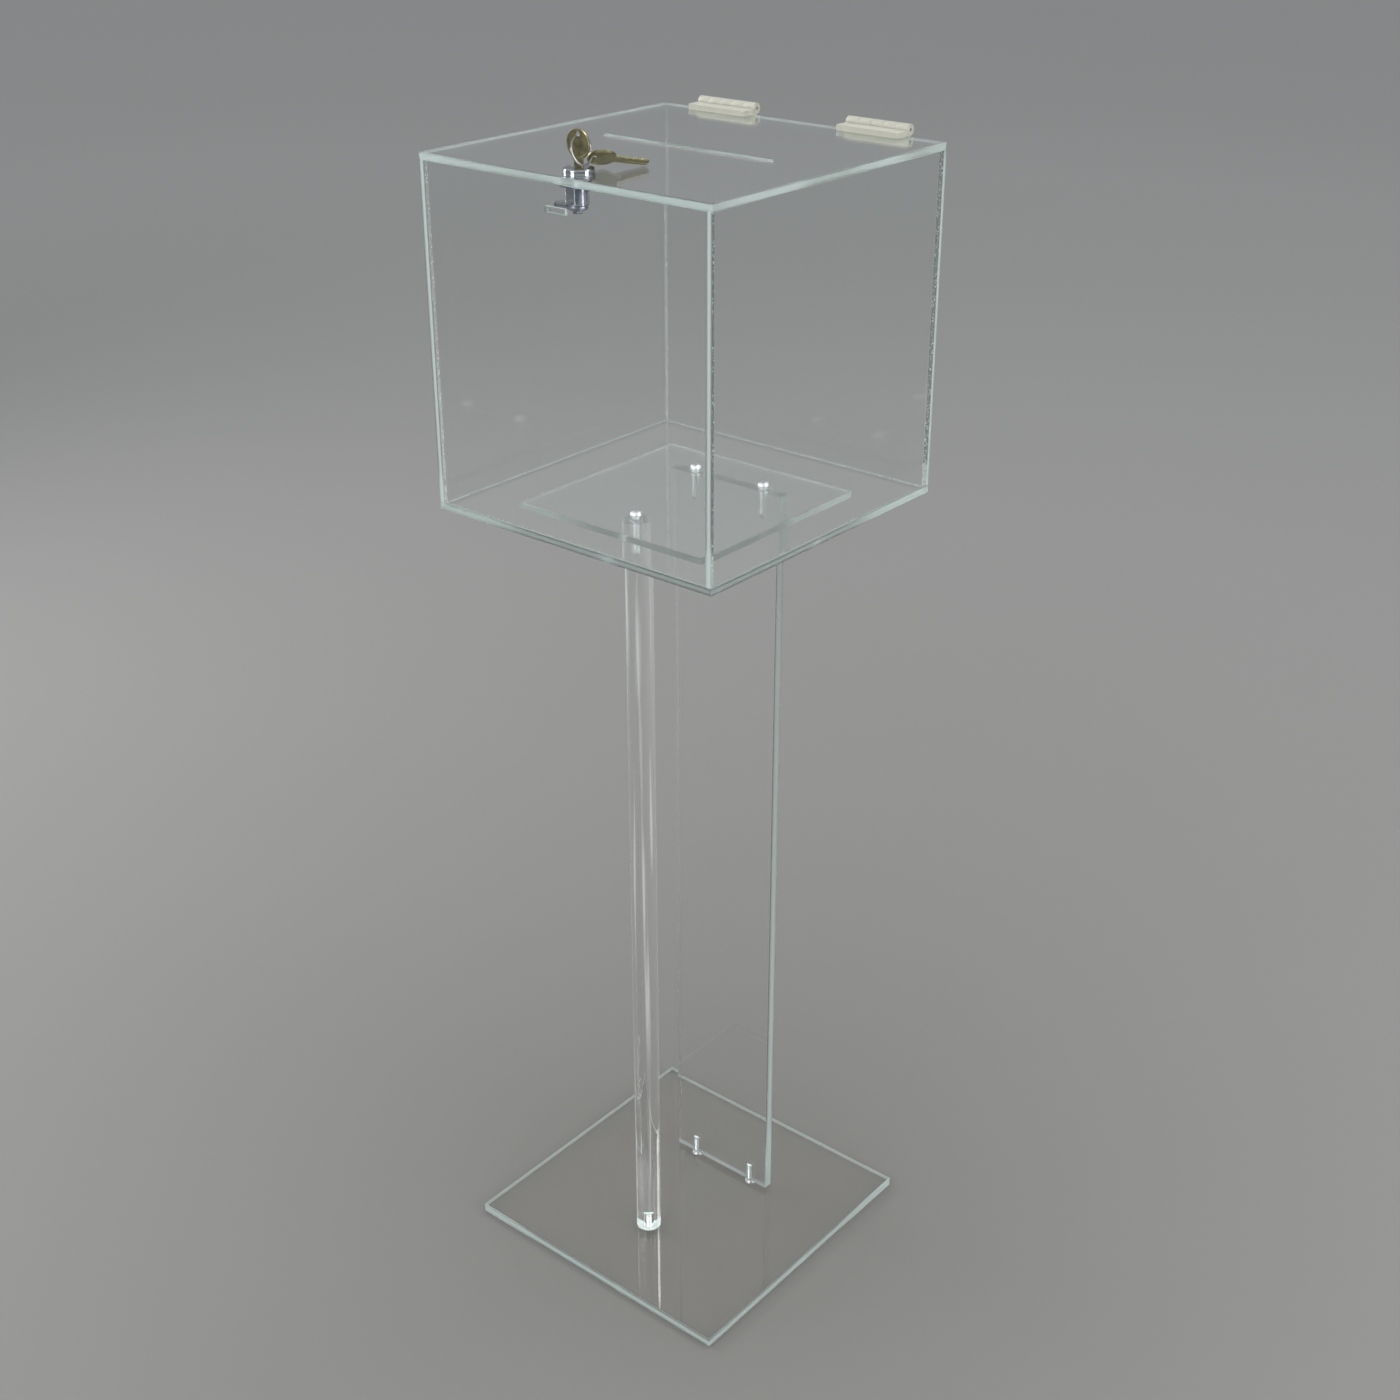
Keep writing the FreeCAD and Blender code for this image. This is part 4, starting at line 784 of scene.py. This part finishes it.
def make_ring(steel):
    """The split ring: two turns of flattened wire with one step between them."""
    points = np.array([vertex.co[:] for vertex in frame["nodes"]["key_ring"].data.vertices])
    centre = Vector((points.min(axis=0) + points.max(axis=0)) / 2)
    outward = (joint_place("ring_swing") - centre).normalized()
    across = Vector((0.0, 1.0, 0.0))
    axis = outward.cross(across).normalized()
    rings = []
    for number in range(RING_COUNT + 1):
        turn = RING_TURN * number / RING_COUNT
        climb = min(max((turn - (TAU - RING_STEP_TURN)) / RING_STEP_TURN, 0.0), 1.0)
        rise = RING_STEP * (climb * climb * (3 - 2 * climb) * 2 - 1)
        radial = outward * math.cos(RING_START + turn) + across * math.sin(RING_START + turn)
        place = centre + radial * RING_RADIUS + axis * rise
        loop = []
        for side in range(WIRE_SIDES):
            angle = TAU * side / WIRE_SIDES
            point = place + radial * (RING_WIDE * math.cos(angle)) + axis * (RING_HIGH * math.sin(angle))
            loop.append(tuple(point))
        rings.append(loop)
    finished("split_ring", skin("split_ring", [(rings, False)]), steel, "ring", "ring_steel", "key_ring")


# Cement beads, of uneven width down to a share of the whole
BEAD = 0.45 * MM
BEAD_LEAST = 0.45
BEAD_STEP = 9.0 * MM
BEAD_SIDES = 4
BEAD_SEED = 11


def bead(start, end, first, second, rng):
    """A thin fillet of cement along an inside corner, between two faces, of uneven width."""
    run = end - start
    steps = max(2, round(run.length / BEAD_STEP))
    rings = []
    for number in range(steps + 1):
        point = start + run * (number / steps)
        wide = BEAD * rng.uniform(BEAD_LEAST, 1.0)
        tall = BEAD * rng.uniform(BEAD_LEAST, 1.0)
        loop = [point]
        for side in range(BEAD_SIDES + 1):
            turn = TAU / 4 * side / BEAD_SIDES
            place = point + first * wide * (1 - math.sin(turn))
            loop.append(place + second * tall * (1 - math.cos(turn)))
        rings.append([tuple(place) for place in loop])
    return rings, False


def make_beads(cement):
    """Cement beads round the foot of the walls inside, up the corners and round the head plate."""
    rng = random.Random(BEAD_SEED)
    side_low, side_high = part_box("right_wall")
    inside = side_low[0]
    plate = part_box("head_plate")[1][0]
    floor_low, floor_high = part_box("box_floor")
    up = Vector((0, 0, 1))
    foot = up * floor_high[2]
    wall_top = up * side_high[2]
    plate_top = up * floor_low[2]
    corners = [Vector((x, y, 0)) for x, y in ((-1, -1), (1, -1), (1, 1), (-1, 1))]
    sides = list(zip(corners, corners[1:] + corners[:1]))
    groups = []
    for corner, after in sides:
        start = corner * inside + foot
        groups.append(bead(start, after * inside + foot, -(corner + after).normalized(), up, rng))
        groups.append(bead(start, corner * inside + wall_top, Vector((-corner.x, 0, 0)),
                           Vector((0, -corner.y, 0)), rng))
    for corner, after in sides:
        outward = (corner + after).normalized()
        groups.append(bead(corner * plate + plate_top, after * plate + plate_top, outward, -up, rng))
    finished("cement_beads", skin("cement_beads", groups), cement, "root", "clear_acrylic")


# Carried-over nodes: their points are welded, and edges are rounded or parted above an angle
NODE_TOUCHING = 1e-6
ROUND_ABOVE = math.radians(40)
PART_ABOVE = math.radians(30)
HAIR = 0.02 * MM
LEAF_ROUND = 0.35 * MM
PIN_ROUND = 0.25 * MM
ZINC_ROUND = 0.2 * MM


def weld(piece):
    """Join the points that a node's faces share."""
    join = piece.modifiers.new("weld", "WELD")
    join.merge_threshold = NODE_TOUCHING


def soften(node, width):
    """Round a carried-over node's sharp edges, with modifiers on top of its mesh."""
    piece = frame["nodes"][node]
    weld(piece)
    bevel = piece.modifiers.new("soften", "BEVEL")
    bevel.width = width
    bevel.segments = 2
    bevel.limit_method = "ANGLE"
    bevel.angle_limit = ROUND_ABOVE


def part_faces(node):
    """Draw a clear piece's faces in by a hair, so that light meets two faces where it touches another."""
    piece = frame["nodes"][node]
    weld(piece)
    hair = piece.modifiers.new("hair", "DISPLACE")
    hair.direction = "NORMAL"
    hair.mid_level = 0.0
    hair.strength = -HAIR
    crease = piece.modifiers.new("crease", "EDGE_SPLIT")
    crease.split_angle = PART_ABOVE


def dress_acrylic():
    """Materials for the clear pieces."""
    for node in ("base_plate", "front_rod", "rear_panel", "head_plate", "box_floor", "lid", "front_wall",
                 "back_wall", "left_wall", "right_wall"):
        part_faces(node)
    dress(acrylic("base_acrylic", "base_plate", cut="xy", polish=-0.06, tint=BASE_SHADOW), "base_plate")
    dress(acrylic("head_acrylic", "head_plate", cut="xy", polish=0.65), "head_plate")
    dress(acrylic("floor_acrylic", "box_floor", cut="xy", polish=0.40), "box_floor")
    dress(acrylic("lid_acrylic", "lid", cut="xy", polish=0.42), "lid")
    # The rod's streaks are partly painted highlights of light bent through it.
    dress(acrylic("rod_acrylic", "front_rod", cut="z", clear="+z", haze=0.5, streaks_and_highlights=0.35), "front_rod")
    # The panel's cut edges grow paler toward its foot: painted glow of light piped up from the base.
    dress(acrylic("panel_acrylic", "rear_panel", cut="xz", seated="-z", clear="-x", top_polish_and_piped_glow=0.70),
          "rear_panel")
    dress(acrylic("cross_wall_acrylic", "front_wall", cut="xz", glued="+x -x", seated="-z"),
          "front_wall", "back_wall")
    dress(acrylic("side_wall_acrylic", "right_wall", cut="yz", seated="-z"), "left_wall", "right_wall")


def dress_fittings(chrome):
    """Materials for the hinges and for the lock's plain pieces."""
    milky = milky_plastic()
    pin = metal("hinge_pin_steel")
    for side in ("left", "right"):
        for leaf in (f"{side}_hinge_lid_leaf", f"{side}_hinge_wall_leaf"):
            dress(milky, leaf)
            soften(leaf, LEAF_ROUND)
        dress(pin, f"{side}_hinge_pin")
        soften(f"{side}_hinge_pin", PIN_ROUND)
    zinc = metal("zinc_plating")
    for node in ("lock_nut", "stop_washer", "lock_cam", "cam_screw"):
        dress(zinc, node)
        soften(node, ZINC_ROUND)
    dress(chrome, "lock_plug")
    dress(metal("wafer_brass"), "lock_wafers")
    dress(metal("spring_steel"), "wafer_springs")


# Studio. The sky is brighter overhead than at the horizon, between two heights of a direction. A light
# has its place, its size in metres and its power in watts, and all lights face one target.
FLOOR_SIZE = 24.0
FLOOR_STEPS = 48
SKY = (0.95, 0.975, 1.0)
HORIZON_LIGHT = 0.27
OVERHEAD_LIGHT = 0.85
HORIZON_RISE = 0.15
OVERHEAD_RISE = 0.95
LIGHT_TARGET = (0.0, 0.0, 0.8)
LIGHTS = {
    "key_light": ((-0.3, -2.7, 2.0), (1.1, 1.1), 46),
    "left_light": ((-2.4, -0.4, 1.8), (1.0, 1.0), 34),
    "fill_light": ((2.4, 0.3, 1.5), (0.9, 1.3), 36),
    "back_light": ((0.4, 2.2, 4.0), (1.4, 1.0), 55),
}

# Camera, from the photograph's corners: metres, degrees, pixels of its 1400 pixel frame, millimetres
CAMERA_PLACE = (1.0382, -1.2390, 1.3928)
CAMERA_AZIMUTH = 39.55
CAMERA_PITCH = 26.41
CAMERA_FOCAL_PX = 1946.1
PHOTO_PX = 1400
SENSOR = 36.0


def make_floor():
    """A wide plain floor, made as a fine grid."""
    points = []
    faces = []
    for row in range(FLOOR_STEPS + 1):
        for column in range(FLOOR_STEPS + 1):
            x = FLOOR_SIZE * (column / FLOOR_STEPS - 0.5)
            y = FLOOR_SIZE * (row / FLOOR_STEPS - 0.5)
            points.append((x, y, 0.0))
    for row in range(FLOOR_STEPS):
        for column in range(FLOOR_STEPS):
            low = row * (FLOOR_STEPS + 1) + column
            high = low + FLOOR_STEPS + 1
            faces.append((low, low + 1, high + 1, high))
    mesh = bpy.data.meshes.new("floor")
    mesh.from_pydata(points, [], faces)
    mesh.materials.append(floor_material())
    floor = bpy.data.objects.new("floor", mesh)
    bpy.context.scene.collection.objects.link(floor)


def make_lights():
    """Soft studio light: four wide area lights, in front, on both sides and high behind."""
    for name, (place, size, power) in LIGHTS.items():
        light = bpy.data.lights.new(name, "AREA")
        light.shape = "RECTANGLE"
        light.size, light.size_y = size
        light.energy = power
        holder = bpy.data.objects.new(name, light)
        holder.location = place
        direction = Vector(LIGHT_TARGET) - Vector(place)
        holder.rotation_euler = direction.to_track_quat("-Z", "Y").to_euler()
        holder.visible_camera = False
        bpy.context.scene.collection.objects.link(holder)


def make_surroundings():
    """Even light from all round, brighter overhead than at the horizon."""
    world = bpy.data.worlds.new("studio")
    world.use_nodes = True
    nodes = world.node_tree.nodes
    links = world.node_tree.links
    background = nodes["Background"]
    direction = nodes.new("ShaderNodeTexCoord")
    split = nodes.new("ShaderNodeSeparateXYZ")
    rise = nodes.new("ShaderNodeMapRange")
    links.new(direction.outputs["Generated"], split.inputs[0])
    links.new(split.outputs["Z"], rise.inputs["Value"])
    links.new(rise.outputs[0], background.inputs["Strength"])
    rise.inputs["From Min"].default_value = HORIZON_RISE
    rise.inputs["From Max"].default_value = OVERHEAD_RISE
    rise.inputs["To Min"].default_value = HORIZON_LIGHT
    rise.inputs["To Max"].default_value = OVERHEAD_LIGHT
    background.inputs["Color"].default_value = (*SKY, 1.0)
    bpy.context.scene.world = world


def make_camera():
    """The photograph's viewpoint."""
    data = bpy.data.cameras.new("camera")
    data.sensor_width = SENSOR
    data.lens = CAMERA_FOCAL_PX / PHOTO_PX * SENSOR
    camera = bpy.data.objects.new("camera", data)
    camera.location = CAMERA_PLACE
    camera.rotation_euler = (math.radians(90 - CAMERA_PITCH), 0.0, math.radians(CAMERA_AZIMUTH))
    bpy.context.scene.collection.objects.link(camera)
    bpy.context.scene.camera = camera


def set_light_paths():
    """Enough bounces for light to cross every sheet, and plain display of colours."""
    scene = bpy.context.scene
    scene.cycles.max_bounces = 44
    scene.cycles.transmission_bounces = 40
    scene.cycles.glossy_bounces = 8
    scene.cycles.transparent_max_bounces = 32
    scene.cycles.caustics_reflective = False
    scene.cycles.caustics_refractive = False
    scene.cycles.sample_clamp_indirect = 5.0
    scene.view_settings.view_transform = "Standard"


make_camera()
make_lights()
make_surroundings()
make_floor()
set_light_paths()
chrome = metal("bright_chrome")
dress_acrylic()
dress_fittings(chrome)
make_screws(metal("bright_screw_steel"))
make_lock_shell(chrome)
make_keys(metal("key_brass"))
make_ring(metal("ring_steel"))
make_beads(cement_material())
